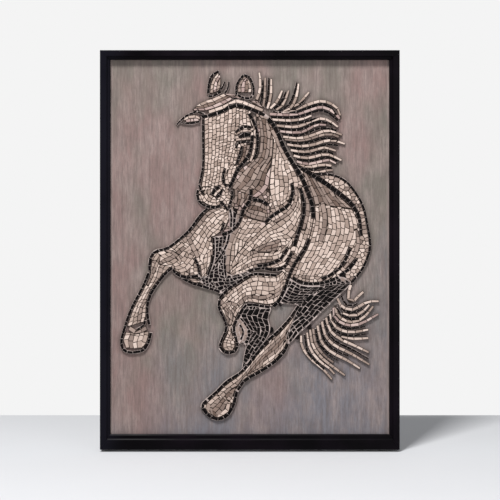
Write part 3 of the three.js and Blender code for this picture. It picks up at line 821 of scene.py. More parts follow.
right_ear.row("black", 4, [(-27, 312), (-27, 330), (-18, 346), (-10, 352), (0, 346), (7, 330),
    (7, 311)], 9)
right_ear.row("black", 4, [(-26, 313), (-16, 307), (-2, 304), (6, 311)], 9)
forelock.row("black", [3, 4, 3.5], [(-147, 252), (-130, 268), (-105, 279)], 11)
forelock.row("black", [2, 3.5, 3], [(-138, 256), (-118, 254), (-101, 258)], 9)
forelock.row("cream", [3, 6, 3], [(-132, 262), (-115, 269), (-99, 264)], 11)
forelock.row("pink", 5, [(-128, 259), (-114, 261), (-103, 262)], 10)
neck.row("black", 7.5, [(24, 274), (42, 259), (57, 234), (68, 207), (84, 178), (101, 152),
    (115, 120), (125, 92), (128, 64)], 13)
neck.row("black", 5.5, [(85, 131), (86, 112), (77, 89), (58, 77), (42, 66), (32, 55)], 13)
shoulder.row("black", 5.5, [(101, 124), (108, 100), (108, 72), (99, 40), (89, 8)], 13)
neck.row("black", 5.5, [(3, 121), (0, 99), (-13, 81), (-20, 58), (-38, 37), (-56, 31)], 12)
neck.row("black", 5.5, [(6, 100.5), (21, 100.5), (37, 90)], 11)
croup.row("black", [5.5, 8, 8, 6.5, 4], [(93, 170), (120, 154), (150, 135), (180, 113), (205, 92),
    (219, 66), (224, 28)], 12)
croup.row("black", 4, [(128, 152), (160, 152), (188, 142), (210, 119), (228, 87), (236, 50),
    (242, 12), (238, -12), (225, -40), (204, -66)], 14)
barrel.row("black", 5, [(201, 2), (192, -20), (172, -44), (145, -58)], 12)
croup.row("black", 5, [(214, -18), (202, -36), (180, -52)], 11)
barrel.row("black", 5.5, [(86, -56), (105, -66), (135, -68), (165, -61), (182, -52)], 11)
barrel.row("black", 5.5, [(119, 22), (110, 0), (92, -25), (80, -50), (70, -80), (58, -103),
    (47, -114)], 13)
shoulder.row("black", 5, [(15, -32), (38, -29), (60, -20), (75, 2)], 12)
shoulder.row("black", 5, [(-2, -43), (20, -36), (45, -40), (68, -36), (84, -6)], 12)
chest.row("black", 4, [(-73, 25), (-72, 2), (-74, -20), (-84, -50)], 12)
chest.row("black", 4, [(-41, 32), (-46, 12), (-56, -8), (-70, -28)], 11)
chest.row("black", 4, [(-50, -15), (-51, -33), (-48, -52)], 11)
neck.row("black", 4, [(-40, 84), (-37, 66), (-38, 46)], 10)
chest.row("black", 4, [(-52, 52), (-57, 38)], 9)
far_foreleg.row("black", 5, [(-84, 84), (-100, 69), (-118, 44), (-137, 25), (-165, 4), (-190, -3),
    (-201, -20), (-201, -42)], 12)
far_foreleg.row("black", 5, [(-203, -46), (-216, -76), (-238, -118), (-250, -152), (-258, -182),
    (-254, -200), (-238, -206), (-214, -201), (-203, -184), (-199, -166)], 12)
far_foreleg.row("black", 5, [(-156, -36), (-172, -50), (-190, -74), (-203, -98), (-206, -126),
    (-202, -150)], 12)
far_foreleg.row("black", 4, [(-210, -142), (-214, -152), (-226, -160)], 9)
far_foreleg.row("black", 5, [(-156, -36), (-148, -48), (-128, -55), (-104, -52)], 11)
far_foreleg.row("black", 4, [(-110, -18), (-103, -34), (-101, -54)], 10)
far_foreleg.row("black", 5, [(-137, -56), (-115, -67), (-88, -75), (-60, -84)], 12)
near_foreleg.row("black", 5, [(-61, -97), (-44, -79), (-22, -64), (4, -49), (30, -49), (54, -51)],
    12)
near_foreleg.row("black", 5, [(40, -115), (14, -111), (-5, -109), (-14, -119), (-25, -138)], 11)
near_foreleg.row("black", 5, [(-61, -100), (-62, -116), (-52, -138), (-47, -158), (-56, -180),
    (-60, -196), (-50, -206), (-34, -206), (-25, -196), (-28, -176), (-33, -158), (-27, -142)], 11)
near_hind_leg.row("black", 5, [(98, -112), (80, -138), (60, -160), (32, -186), (8, -216),
    (-18, -246), (-46, -264), (-66, -284), (-84, -300)], 13)
near_hind_leg.row("black", 5.5, [(-84, -300), (-96, -314), (-84, -331), (-66, -340), (-46, -333),
    (-33, -312), (-26, -284)], 12)
near_hind_leg.row("black", 5.5, [(-26, -284), (-10, -262), (18, -246), (48, -226), (68, -206),
    (76, -188)], 13)
head.row("cream", 4, [(3, 263), (10, 240), (10, 215), (7, 194), (1, 178)], 12)
forelock.row("black", 3.5, [(-34, 304), (-12, 299), (2, 294)], 12)
neck.row("taupe", 7, [(45, 241), (54, 224), (62, 204), (73, 181)], 16)
shoulder.row("taupe", 9, [(-24, 47), (-35, 28), (-42, 6), (-45, -18), (-46, -44)], 15)
far_foreleg.row("taupe", 7, [(-122, 22), (-112, 2), (-104, -14)], 12)
far_foreleg.row("taupe", 7, [(-242, -157), (-227, -165), (-208, -157)], 12)
barrel.row("taupe", 8, [(146, 92), (151, 68), (149, 42), (142, 18)], 15)
near_foreleg.row("taupe", [4, 8, 4], [(6, -93), (24, -97), (44, -90)], 12)
near_foreleg.row("taupe", 6, [(-55, -113), (-40, -107), (-26, -112)], 10)
shoulder.row("taupe", [4, 7, 5], [(108, 118), (116, 98), (116, 72), (108, 42)], 14)
shoulder.row("taupe", [4, 6, 4], [(92, 122), (94, 104), (86, 84), (70, 68), (50, 57)], 14)
barrel.row("taupe", [4, 8, 4], [(214, 40), (218, 14), (208, -14), (190, -36)], 14)
far_foreleg.row("taupe", [3, 6, 3], [(-180, -12), (-192, -40), (-205, -70)], 12)
far_foreleg.row("taupe", [3, 6, 3], [(-170, 0), (-150, -8), (-138, -24)], 12)
near_foreleg.row("taupe", [3, 6, 4], [(-44, -118), (-36, -132), (-40, -150)], 11)
far_hind_leg.row("black", 3.5, [(-20, -150), (-13, -164), (-18, -180)], 8)

# ---------------------------------------------------------------------------------------------
# The head: cream marble nibbled to small uneven squares, set in courses that follow the nose
# and the cheek, with brown stone in the hollow under the eye.
# ---------------------------------------------------------------------------------------------

head.field(["cream"], 7.8, 8.5,
    [(-91, 265), (-90.5, 215), (-91, 165), (-97, 127)],
    [(-27, 287), (-29, 250), (-33, 208), (-41, 174), (-55, 129)])
head.field(["cream"], 7.5, 8.5,
    [(-27, 285), (-28, 262), (-28, 246)],
    [(-3, 281), (0, 262), (3, 249)])
head.field(["cream"], 7, 8,
    [(-29, 240), (-33, 208), (-41, 174)],
    [(-27, 224), (-28, 204), (-24, 190), (-29, 172)])
head.field(["cream"], 7, 8,
    [(-42, 173), (-50, 158), (-50, 142), (-49, 128)],
    [(-27, 171), (-28, 162), (-35, 146), (-41, 130)])
head.field(["brown", "taupe"], 6, 10,
    [(-13, 209), (-14, 192), (-23, 174)],
    [(0, 215), (0, 204), (-9, 184), (-22, 169)])
head.field(["cream"], 7, 9,
    [(-94, 126), (-101, 110), (-96, 100), (-86, 92), (-70, 88), (-59, 92)],
    [(-78, 126), (-79, 116), (-76, 109), (-68, 107), (-62, 106)])
head.field(["cream"], 6, 8,
    [(-66, 127), (-56, 126), (-49, 125)],
    [(-56, 118), (-53, 118), (-49, 119)])
head.fill(["cream"], 7.2, [(-95, 262), (-62, 272), (-30, 288), (0, 280), (13, 248), (15, 218),
    (8, 184), (-22, 166), (-42, 125), (-38, 110), (-44, 85), (-70, 87), (-88, 90), (-100, 98),
    (-103, 112), (-99, 130), (-94, 165), (-93, 225)])
head.finish()

# ---------------------------------------------------------------------------------------------
# The neck and throat: long slips of taupe and brown limestone behind the cheek, and cream
# courses that fan out from the crest to the shoulder.
# ---------------------------------------------------------------------------------------------

neck.field(["taupe", "brown", "taupe", "taupe", "brown", "pink"], 8, 16,
    [(17, 268), (21, 240), (21, 212), (16, 188), (-2, 168), (-18, 150), (-36, 124)],
    [(33, 262), (45, 236), (46, 205), (43, 172), (40, 146), (34, 120), (12, 105)])
neck.field(["taupe", "brown"], 7.5, 12,
    [(-31, 122), (-30, 105), (-34, 92)],
    [(-1, 122), (-6, 104), (-18, 86)])
neck.field(["cream"], 7.8, 12,
    [(49, 232), (47, 205), (44, 172), (41, 146), (41, 118), (50, 84)],
    [(53, 230), (66, 202), (80, 176), (94, 150), (97, 128), (80, 100)])
neck.field(["taupe", "brown", "taupe"], 8, 12,
    [(5, 96), (20, 96), (34, 87)],
    [(-10, 70), (10, 62), (36, 56)])
neck.field(["black", "taupe"], 7, 10,
    [(-34, 84), (-34, 66), (-35, 45)],
    [(-17, 82), (-22, 62), (-29, 45)])
neck.fill(["taupe", "brown", "taupe", "pink"], 8, [(12, 274), (30, 270), (45, 250), (48, 215),
    (42, 165), (40, 130), (40, 92), (36, 56), (-8, 68), (-20, 58), (-38, 38), (-55, 33), (-46, 50),
    (-38, 80), (-37, 120), (-22, 158), (6, 182), (16, 215), (14, 245)])
neck.finish()

# ---------------------------------------------------------------------------------------------
# The forelock: long slips of pink, brown and cream stone swept over the brow.
# They are set close, in the direction of the hair.
# ---------------------------------------------------------------------------------------------

forelock.field(["pink", "brown", "cream", "taupe"], 6.5, 14,
    [(-110, 280), (-84, 281), (-52, 293), (-34, 304)],
    [(-115, 283), (-98, 296), (-78, 303), (-52, 314)])
forelock.field(["pink", "taupe"], 5.5, 12,
    [(-34, 306), (-12, 303), (3, 298), (26, 286)],
    [(-52, 314), (-30, 312), (-4, 301), (16, 299)])
forelock.finish()

# ---------------------------------------------------------------------------------------------
# The left ear: slips of cream and pink stone inside a black rim.
# They stand upright, as the ear does.
# ---------------------------------------------------------------------------------------------

left_ear.field(["cream", "pink", "taupe", "cream"], 5.5, 12,
    [(-80, 314), (-78, 334), (-73, 345), (-64, 355)],
    [(-62, 320), (-58, 334), (-59, 350)])
left_ear.finish()

# ---------------------------------------------------------------------------------------------
# The right ear: slips of taupe, pink and brown stone inside a black rim.
# They stand upright, as the ear does.
# ---------------------------------------------------------------------------------------------

right_ear.field(["taupe", "pink", "brown", "cream"], 6, 10,
    [(-24, 317), (-23, 332), (-12, 348)],
    [(3, 316), (3, 330), (-5, 346)])
right_ear.finish()

# ---------------------------------------------------------------------------------------------
# The barrel: courses of cream stone that hang from the withers over the ribs, under a
# saddle of taupe and brown slips.
# ---------------------------------------------------------------------------------------------

barrel.field(["cream"], 7.6, 12,
    [(105, 134), (113, 102), (113, 72), (104, 42), (95, 12), (89, -8)],
    [(111, 130), (119, 98), (123, 66), (121, 44), (115, 24), (107, 4), (94, -15)])
barrel.field(["taupe", "brown", "taupe", "taupe", "brown", "taupe"], 9, 18,
    [(102, 166), (114, 142), (126, 112), (131, 92)],
    [(118, 154), (150, 130), (180, 106), (204, 84)])
barrel.field(["cream"], 8.6, 14,
    [(131, 90), (132, 60), (126, 30), (116, 2), (100, -26), (92, -50)],
    [(205, 81), (214, 62), (217, 34), (208, 6), (190, -26), (164, -56)])
barrel.fill(["cream", "cream", "taupe"], 8, [(93, 168), (128, 150), (160, 150), (188, 140),
    (208, 118), (226, 87), (234, 50), (240, 12), (236, -12), (223, -40), (204, -64), (182, -54),
    (150, -64), (120, -68), (88, -58), (80, -50), (92, -25), (110, 0), (119, 22), (128, 64),
    (125, 92), (115, 120)])
barrel.finish()

# ---------------------------------------------------------------------------------------------
# The croup: a narrow band of pale stone round the hind quarters, between two black rows.
# It is set in adhesive like the barrel.
# ---------------------------------------------------------------------------------------------

croup.field(["cream", "taupe", "cream"], 8, 12,
    [(150, 144), (172, 130), (190, 112), (212, 90), (226, 64), (229, 28), (218, 0), (202, -26),
     (184, -46)],
    [(152, 149), (168, 146), (188, 137), (207, 116), (223, 86), (231, 50), (237, 12), (233, -12),
     (221, -38), (203, -62)])
croup.finish()

# ---------------------------------------------------------------------------------------------
# The shoulder: cream courses that fan down and forward from the neck, with a brown lens
# where the muscle hollows.
# ---------------------------------------------------------------------------------------------

shoulder.field(["cream"], 7.6, 12,
    [(92, 150), (92, 112), (84, 88), (66, 72), (44, 58), (18, 36), (-6, 12), (-26, -10),
     (-38, -32)],
    [(97, 132), (103, 98), (103, 72), (95, 42), (82, 24), (60, 22), (36, 14), (8, 2), (-20, -22),
     (-37, -38)])
shoulder.field(["cream"], 7.6, 12,
    [(-14, 66), (-21, 50), (-32, 28), (-37, 2), (-40, -30)],
    [(36, 54), (18, 36), (-6, 12), (-26, -10), (-38, -32)])
shoulder.field(["taupe", "brown"], 7.5, 14,
    [(10, 2), (34, 14), (62, 22)],
    [(10, -2), (34, -4), (58, 0)])
shoulder.field(["cream", "cream", "taupe"], 7.5, 12,
    [(86, 24), (70, 6), (50, -6), (14, -6), (-18, -24), (-38, -40)],
    [(84, 6), (74, -2), (60, -16), (38, -25), (14, -28), (-10, -38), (-40, -50)])
shoulder.field(["cream"], 7, 12,
    [(80, 4), (66, -18), (40, -31), (14, -34), (0, -38)],
    [(86, -4), (72, -30), (45, -36), (20, -36), (2, -41)])
shoulder.fill(["cream", "cream", "cream", "taupe"], 7.6, [(40, 260), (57, 234), (68, 207),
    (84, 178), (101, 152), (115, 120), (125, 92), (128, 64), (119, 22), (110, 0), (92, -25),
    (80, -50), (62, -42), (40, -38), (20, -36), (0, -42), (-40, -50), (-46, -15), (-40, 20),
    (-26, 45), (0, 62), (36, 56), (38, 92), (40, 130), (42, 165), (46, 215)])
shoulder.finish()

# ---------------------------------------------------------------------------------------------
# The chest: black and taupe chips in shadow between the forelegs.
# The black ones are grouted pale.
# ---------------------------------------------------------------------------------------------

chest.field(["black"], 7, 9,
    [(-70, 27), (-69, 12), (-69, -4)],
    [(-46, 29), (-50, 12), (-60, -4)])
chest.field(["black"], 7, 10,
    [(-69, -6), (-71, -24), (-79, -44)],
    [(-59, -8), (-63, -20), (-56, -40)])
chest.field(["taupe", "cream"], 7, 11,
    [(-53, 27), (-51, 16), (-55, 4)],
    [(-43, 29), (-44, 18), (-48, 8)])
chest.field(["black"], 8, 10,
    [(-86, -50), (-70, -47), (-52, -52), (-30, -48), (-6, -42)],
    [(-62, -80), (-60, -92), (-40, -77), (-20, -63), (4, -48)])
chest.fill(["black"], 7.5, [(-74, 26), (-44, 32), (-40, 84), (-20, 60), (-30, 44), (-42, 10),
    (-46, -46), (0, -46), (4, -50), (-22, -64), (-61, -85), (-86, -74), (-104, -57), (-84, -50),
    (-75, -20)])
chest.finish()

# ---------------------------------------------------------------------------------------------
# The near foreleg, folded under the chest: cream courses round the forearm, the knee and
# the short cannon, down to the hoof.
# ---------------------------------------------------------------------------------------------

near_foreleg.field(["cream", "cream", "cream", "cream", "taupe", "cream"], 8, 11,
    [(72, -42), (54, -56), (30, -55), (4, -55), (-20, -69), (-40, -84), (-56, -100)],
    [(64, -88), (58, -98), (42, -109), (14, -106), (-5, -104), (-18, -114), (-29, -136)])
near_foreleg.field(["cream", "taupe", "cream"], 7.5, 10,
    [(-57, -104), (-57, -118), (-47, -138), (-42, -158), (-50, -180)],
    [(-28, -134), (-31, -148), (-38, -160), (-34, -176), (-33, -182)])
near_foreleg.field(["cream", "cream"], 8, 10,
    [(-51, -181), (-55, -193), (-48, -202)],
    [(-32, -182), (-30, -194), (-36, -202)])
near_foreleg.fill(["cream", "cream", "taupe"], 7.4, [(-61, -97), (-44, -80), (-22, -65), (4, -50),
    (30, -50), (54, -51), (70, -40), (80, -50), (62, -98), (47, -113), (14, -110), (-5, -108),
    (-14, -118), (-25, -138), (-33, -158), (-28, -176), (-26, -196), (-34, -205), (-50, -205),
    (-59, -196), (-55, -180), (-46, -158), (-51, -138), (-61, -116)])
near_foreleg.finish()

# ---------------------------------------------------------------------------------------------
# The far foreleg, thrown forward: cream courses down the forearm, the knee and the cannon,
# with a pale hoof.
# ---------------------------------------------------------------------------------------------

far_foreleg.field(["taupe", "cream", "cream", "cream", "cream", "cream"], 8.4, 11,
    [(-62, 87), (-83, 78), (-97, 64), (-114, 42), (-130, 26), (-140, 20)],
    [(-43, 80), (-44, 56), (-60, 36), (-76, 24), (-84, 0), (-98, -24)])
far_foreleg.field(["cream", "cream", "taupe", "cream", "cream"], 8.4, 11,
    [(-140, 20), (-162, 4), (-186, -6), (-196, -22)],
    [(-108, -2), (-113, -28), (-134, -46), (-154, -38)])
far_foreleg.field(["cream", "cream", "taupe", "cream", "cream"], 8.4, 11,
    [(-197, -25), (-200, -48), (-212, -78), (-233, -118), (-246, -154)],
    [(-160, -34), (-174, -48), (-196, -76), (-207, -100), (-210, -144)])
far_foreleg.field(["cream", "taupe", "cream", "cream"], 9, 13,
    [(-249, -166), (-254, -184), (-248, -198)],
    [(-203, -164), (-206, -182), (-216, -197)])
far_foreleg.field(["cream"], 8, 10,
    [(-102, -18), (-98, -38), (-96, -56)],
    [(-78, -2), (-79, -24), (-88, -46)])
far_foreleg.field(["taupe", "cream"], 6.5, 12,
    [(-140, -57), (-104, -58), (-96, -56), (-76, -46)],
    [(-128, -62), (-112, -66), (-88, -72), (-64, -80)])
far_foreleg.fill(["cream", "cream", "taupe"], 7.6, [(-84, 82), (-100, 68), (-118, 43), (-137, 24),
    (-165, 3), (-190, -4), (-200, -20), (-200, -40), (-160, -36), (-148, -48), (-128, -55),
    (-104, -52), (-84, -50), (-74, -20), (-72, 25), (-58, 36), (-44, 56), (-42, 80), (-60, 89)])
far_foreleg.finish()

# ---------------------------------------------------------------------------------------------
# The belly and thigh in shadow: black marble chips with pale grout between them.
# Their courses run down the thigh.
# ---------------------------------------------------------------------------------------------

belly_and_thigh.field(["black"], 8, 12,
    [(86, -62), (105, -72), (130, -74), (150, -73)],
    [(62, -104), (84, -109), (104, -108)])
belly_and_thigh.field(["black"], 8.6, 13,
    [(204, -66), (176, -92), (146, -120), (122, -144), (100, -164), (80, -188)],
    [(150, -72), (126, -86), (104, -108), (92, -128), (84, -148), (77, -172)])
belly_and_thigh.fill(["black"], 8.5, [(80, -56), (105, -70), (150, -66), (182, -54), (203, -66),
    (176, -95), (146, -123), (122, -147), (100, -167), (78, -189), (73, -175), (84, -148),
    (98, -112), (60, -104)])
belly_and_thigh.finish()

# ---------------------------------------------------------------------------------------------
# The far hind leg: black chips in pale grout, with a few taupe ones at the hock.
# It runs down behind the near one.
# ---------------------------------------------------------------------------------------------

far_hind_leg.field(["black"], 8.4, 12,
    [(42, -118), (36, -136), (40, -158), (34, -176), (18, -198), (2, -226), (-12, -240)],
    [(-8, -117), (-19, -130), (-8, -146), (3, -165), (-2, -182), (-10, -204), (-15, -238)])
far_hind_leg.field(["taupe", "brown"], 7, 12,
    [(-22, -136), (-10, -150), (-4, -166), (-10, -184)],
    [(-27, -142), (-29, -160), (-26, -176), (-20, -188)])
far_hind_leg.fill(["black"], 8, [(-10, -114), (14, -112), (42, -115), (37, -136), (41, -158),
    (34, -177), (18, -199), (2, -226), (-12, -242), (-16, -238), (-10, -204), (-9, -190),
    (-22, -187), (-29, -160), (-25, -142)])
far_hind_leg.finish()

# ---------------------------------------------------------------------------------------------
# The near hind leg, stretched back: long cream, taupe and brown slips down the leg to the
# hoof.
# ---------------------------------------------------------------------------------------------

near_hind_leg.field(["cream", "taupe", "brown", "taupe", "cream"], 8, 14,
    [(92, -130), (76, -150), (56, -172), (28, -198), (5, -223), (-20, -252), (-46, -270),
     (-66, -290)],
    [(76, -182), (66, -200), (44, -221), (14, -240), (-12, -256), (-30, -282), (-38, -304)])
near_hind_leg.field(["cream", "taupe", "brown", "taupe"], 8.5, 12,
    [(-68, -292), (-80, -302), (-90, -314), (-84, -326)],
    [(-38, -306), (-42, -324), (-58, -334), (-68, -336)])
near_hind_leg.fill(["cream", "taupe"], 8, [(98, -113), (80, -139), (60, -161), (32, -187),
    (8, -217), (-18, -247), (-46, -265), (-84, -301), (-95, -314), (-84, -330), (-66, -338),
    (-46, -331), (-34, -312), (-27, -284), (-10, -263), (18, -247), (48, -227), (68, -207),
    (76, -189), (84, -150)])
near_hind_leg.finish()

# ---------------------------------------------------------------------------------------------
# The mane: locks of cream and pink marble slips with black rows between, blown back from the
# crest. Each row runs out to its own ragged point on the bare board.
# ---------------------------------------------------------------------------------------------

HAIR_STONE = 14
BLACK_HAIR_STONE = 12


def lay_locks(hair, locks, seed):
    """Lays locks of hair: each strand has its kind, widths from root to tip, and its line."""
    for number, strands in enumerate(locks, 1):
        name = f"{hair}_lock_{number}"
        lock = Area(name, seed + number)
        for kind, widths, line in strands:
            lock.row(kind, widths, line, BLACK_HAIR_STONE if kind == "black" else HAIR_STONE)
        lock.finish(name)


MANE = [
    [
        ("cream", [5, 5, 3], [(8, 290), (15, 305), (20, 320), (21, 338), (19, 356)]),
        ("black", [3, 4, 2], [(21, 294), (25, 312), (26, 342)]),
        ("taupe", [4, 4, 3], [(27, 288), (30, 310), (31, 346)]),
        ("black", [3, 4, 2], [(31, 286), (36, 308), (38, 346)]),
        ("cream", [4, 5, 3], [(35, 284), (41, 303), (43, 320), (43, 343)]),
    ],
    [
        ("cream", [4, 5, 3], [(41, 284), (52, 295), (59, 306), (65, 320)]),
        ("black", [3, 4, 2], [(48, 283), (58, 291), (66, 302), (72, 318)]),
        ("cream", [4, 5, 3], [(53, 281), (67, 293), (78, 320)]),
    ],
    [
        ("black", [3, 4, 4, 2], [(58, 279), (73, 286), (82, 298), (89, 314), (94, 337)]),
        ("cream", [4, 5, 5, 3], [(66, 279), (80, 284), (89, 296), (95, 314), (98, 334)]),
        ("black", [2, 3, 2], [(84, 282), (97, 287), (110, 301)]),
        ("cream", [4, 5, 3], [(84, 287), (98, 293), (107, 303), (119, 317)]),
    ],
    [
        ("cream", [4, 5, 5, 3], [(66, 277), (95, 283), (117, 292), (142, 299), (158, 296),
            (171, 289), (179, 280), (182, 270)]),
        ("black", [3, 4, 4, 2], [(46, 278), (90, 277), (115, 285), (142, 293), (156, 290),
            (167, 283), (174, 273)]),
        ("pink", 5, [(40, 273), (85, 271.5), (110, 277), (138, 286.5), (155, 284.5), (168, 277),
            (181, 264)]),
        ("black", [3, 4, 4, 3], [(42, 267), (85, 266), (108, 270.5), (136, 280), (152, 278),
            (166, 270), (177, 259)]),
    ],
    [
        ("cream", [4, 5, 3], [(45, 262), (80, 260), (105, 263), (124, 270)]),
        ("black", [3, 4, 3], [(49, 256), (80, 254), (112, 258), (132, 265)]),
        ("cream", [4, 5, 5, 3], [(54, 250), (85, 247), (105, 250), (128, 261), (146, 264),
            (162, 258), (177, 247)]),
        ("black", [3, 4, 4, 2], [(58, 244), (90, 241.5), (108, 244), (128, 255), (148, 258),
            (166, 250)]),
        ("pink", [4, 5, 3], [(61, 238.5), (90, 235.5), (108, 238), (128, 248.5), (140, 252),
            (153, 251)]),
    ],
    [
        ("black", [3, 4, 3], [(64, 233), (95, 229.5), (118, 236), (140, 245), (160, 244),
            (175, 240)]),
        ("cream", [4, 5, 5, 3], [(67, 227.5), (100, 224.5), (125, 230), (145, 238), (163, 239),
            (185, 231)]),
        ("taupe", 4, [(70, 222.5), (100, 219.5), (125, 224), (145, 231), (165, 232), (179, 227)]),
        ("black", [3, 4, 3], [(72, 217), (100, 214), (125, 218), (148, 225), (177, 222)]),
    ],
    [
        ("cream", [4, 5, 5, 3], [(75, 212), (105, 208.5), (130, 212), (150, 218.5), (168, 220),
            (191, 213)]),
        ("black", [3, 4, 3], [(80, 206), (105, 203), (130, 206.5), (150, 212), (177, 210)]),
        ("cream", [4, 5, 3], [(82, 200.5), (108, 197), (130, 200), (148, 206), (173, 199)]),
    ],
    [
        ("black", [3, 4, 3], [(86, 195), (108, 191), (128, 194), (150, 199), (168, 193)]),
        ("cream", [4, 5, 5, 3], [(88, 189.5), (112, 184.5), (135, 188.5), (152, 193), (170, 187),
            (184, 180)]),
        ("black", [3, 4, 3], [(92, 184), (115, 178.5), (135, 182), (155, 187), (177, 178)]),
        ("pink", [4, 5, 3], [(94, 178), (116, 172.5), (140, 177), (158, 181), (173, 174)]),
    ],
    [
        ("cream", [4, 5, 4], [(100, 172), (120, 166.5), (145, 171.5), (164, 169)]),
        ("black", [3, 4, 3], [(106, 166), (125, 160.5), (145, 166), (165, 164)]),
        ("cream", [3, 5, 3], [(115, 160), (135, 155), (150, 159), (167, 161)]),
    ],
]
lay_locks("mane", MANE, 40)

# ---------------------------------------------------------------------------------------------
# The tail: locks like those of the mane, thrown out behind the thigh and curling up at the
# ends.
# ---------------------------------------------------------------------------------------------

TAIL = [
    [
        ("black", [3, 4, 2], [(184, -91), (191, -107), (204, -113), (216, -107)]),
        ("cream", [4, 5, 5, 3], [(176, -97), (183, -111), (195, -118.5), (209, -119.5),
            (222, -112), (238, -104), (259, -103)]),
        ("black", [3, 4, 2], [(177, -107), (185, -119), (197, -125), (211, -125.5), (226, -117)]),
        ("cream", [3, 5, 3], [(187, -127), (199, -131.5), (213, -131.5), (227, -124),
            (240, -110)]),
    ],
    [
        ("black", [3, 4, 2], [(175, -116), (184, -130), (197, -137.5), (214, -138), (234, -123)]),
        ("cream", [4, 5, 5, 3], [(172, -112), (175, -129), (188, -140), (205, -144.5), (224, -139),
            (236, -128), (248, -113)]),
        ("pink", [4, 5, 5, 3], [(168, -116), (171, -135), (185, -147), (205, -151.5), (226, -147),
            (242, -138), (258, -129)]),
    ],
    [
        ("black", [3, 4, 2], [(164, -122), (170, -143), (186, -155), (208, -158), (232, -153)]),
        ("cream", [4, 5, 5, 3], [(161, -128), (168, -150), (186, -162), (208, -165), (238, -160)]),
        ("black", [3, 4, 2], [(157, -132), (165, -156), (184, -169), (208, -172), (234, -168)]),
        ("cream", [3, 5, 3], [(184, -174), (208, -178.5), (238, -177)]),
    ],
    [
        ("cream", [4, 5, 5, 3], [(153, -136), (161, -161), (180, -178), (206, -190), (239, -206)]),
        ("black", [3, 4, 4, 2], [(149, -140), (157, -167), (176, -186), (204, -199), (238, -218)]),
        ("cream", [4, 5, 5, 3], [(145, -144), (152, -172), (171, -192), (203, -208), (240, -230)]),
    ],
    [
        ("black", [3, 4, 2], [(141, -149), (148, -178), (167, -199), (198, -213)]),
        ("cream", [4, 5, 5, 3], [(136, -152), (143, -182), (162, -204), (196, -222), (221, -238)]),
        ("black", [3, 4, 2], [(132, -158), (138, -186), (156, -208), (178, -222)]),
    ],
    [
        ("taupe", [4, 5, 3], [(127, -158), (133, -190), (151, -213), (168, -226)]),
        ("cream", [4, 5, 5, 3], [(121, -160), (127, -192), (146, -218), (172, -238), (191, -252)]),
        ("cream", [3, 5, 3], [(115, -166), (121, -198), (140, -223), (160, -238), (170, -249)]),
        ("black", [3, 4, 2], [(110, -170), (116, -203), (135, -226), (150, -238)]),
        ("cream", [4, 5, 5, 3], [(103, -172), (105, -194), (122, -218), (146, -238), (165, -260)]),
    ],
    [
        ("cream", [5, 5, 4], [(203, -70), (198, -86), (198, -98), (204, -104), (212, -100),
            (219, -92), (228, -84)]),
    ],
]
lay_locks("tail", TAIL, 60)

# ---------------------------------------------------------------------------------------------
# The wash and painted shade: the board is darkened beside the stones and in the corners between
# them, partly by thin dark paint rubbed round them when set, partly as painted shade under them.
# ---------------------------------------------------------------------------------------------

stones = []
for piece in bpy.context.scene.objects:
    if piece.type == "MESH" and piece.name.endswith("_bed"):
        stones += [vert.co.copy() for vert in piece.data.vertices if vert.co.y < BOARD_FRONT]
near_stone = kdtree.KDTree(len(stones))
for number, place in enumerate(stones):
    near_stone.insert((place.x, 0, place.z), number)
near_stone.balance()
# How dark the board is beside each stone, partly dark wash and partly painted shade, fading out
# within 9 mm of the stones.
wash_and_shade = []
for vert in board.data.vertices:
    away = near_stone.find((vert.co.x, 0, vert.co.z))[2]
    patchy = 0.75 + 0.5 * noise.noise(Vector((vert.co.x * 45, 0, vert.co.z * 45)))
    wash_and_shade.append(max(0.0, 1 - away / WASH_AND_SHADE_REACH) ** 1.6 * patchy * 0.8)
board.data.attributes["grime"].data.foreach_set("value", wash_and_shade)

# ---------------------------------------------------------------------------------------------
# The studio: a plain pale floor just under the panel, soft light from above, and the camera
# square in front of it.
# ---------------------------------------------------------------------------------------------

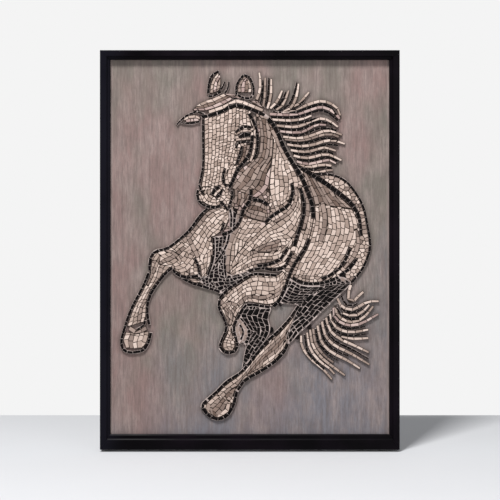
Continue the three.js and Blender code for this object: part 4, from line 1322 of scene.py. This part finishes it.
low, high = cad_box
floor_mesh = bmesh.new()
bmesh.ops.create_grid(floor_mesh, x_segments=1, y_segments=1, size=3)
bmesh.ops.translate(floor_mesh, verts=floor_mesh.verts, vec=(0, -2.5, low[2] - 0.004))
floor_data = bpy.data.meshes.new("floor")
floor_mesh.to_mesh(floor_data)
floor_mesh.free()
floor = bpy.data.objects.new("floor", floor_data)
bpy.context.scene.collection.objects.link(floor)
pale = Finish("studio_floor")
greys = [(0.62, 0.625, 0.64, 1), (0.66, 0.665, 0.68, 1)]
pale.set(base_color=pale.blend(pale.cloud((2, 2, 2)), *greys), roughness=0.8)
floor_data.materials.append(pale.material)

world = bpy.data.worlds.new("studio")
world.use_nodes = True
air = world.node_tree.nodes
seen, lit = air["Background"], air.new("ShaderNodeBackground")
seen.inputs["Color"].default_value = (0.905, 0.905, 0.905, 1)
lit.inputs["Color"].default_value = (0.95, 0.97, 1.0, 1)
lit.inputs["Strength"].default_value = 0.34
ray, mix = air.new("ShaderNodeLightPath"), air.new("ShaderNodeMixShader")
world.node_tree.links.new(ray.outputs["Is Camera Ray"], mix.inputs["Fac"])
world.node_tree.links.new(lit.outputs["Background"], mix.inputs[1])
world.node_tree.links.new(seen.outputs["Background"], mix.inputs[2])
world.node_tree.links.new(mix.outputs["Shader"], air["World Output"].inputs["Surface"])
bpy.context.scene.world = world


def softbox(name, place, aim, size, power):
    """A square lamp turned towards a place."""
    light = bpy.data.lights.new(name, "AREA")
    light.size = size
    light.energy = power
    lamp = bpy.data.objects.new(name, light)
    lamp.location = place
    lamp.rotation_euler = (Vector(aim) - Vector(place)).to_track_quat("-Z", "Y").to_euler()
    bpy.context.scene.collection.objects.link(lamp)


softbox("key_light", (-0.75, -2.0, 3.2), (0, 0, -0.05), 0.7, 182)
softbox("fill_light", (1.2, -2.4, 0.3), (0, 0, 0), 1.6, 14)

camera_data = bpy.data.cameras.new("camera")
camera_data.lens = 85
camera_data.sensor_width = 36
camera = bpy.data.objects.new("camera", camera_data)
camera.location = (0.0004, low[1] - 85 / 36, 0)
camera.rotation_euler = (math.pi / 2, 0, 0)
bpy.context.scene.collection.objects.link(camera)
bpy.context.scene.camera = camera
bpy.context.scene.view_settings.view_transform = "Standard"

bpy.data.meshes.remove(Area.carrier)
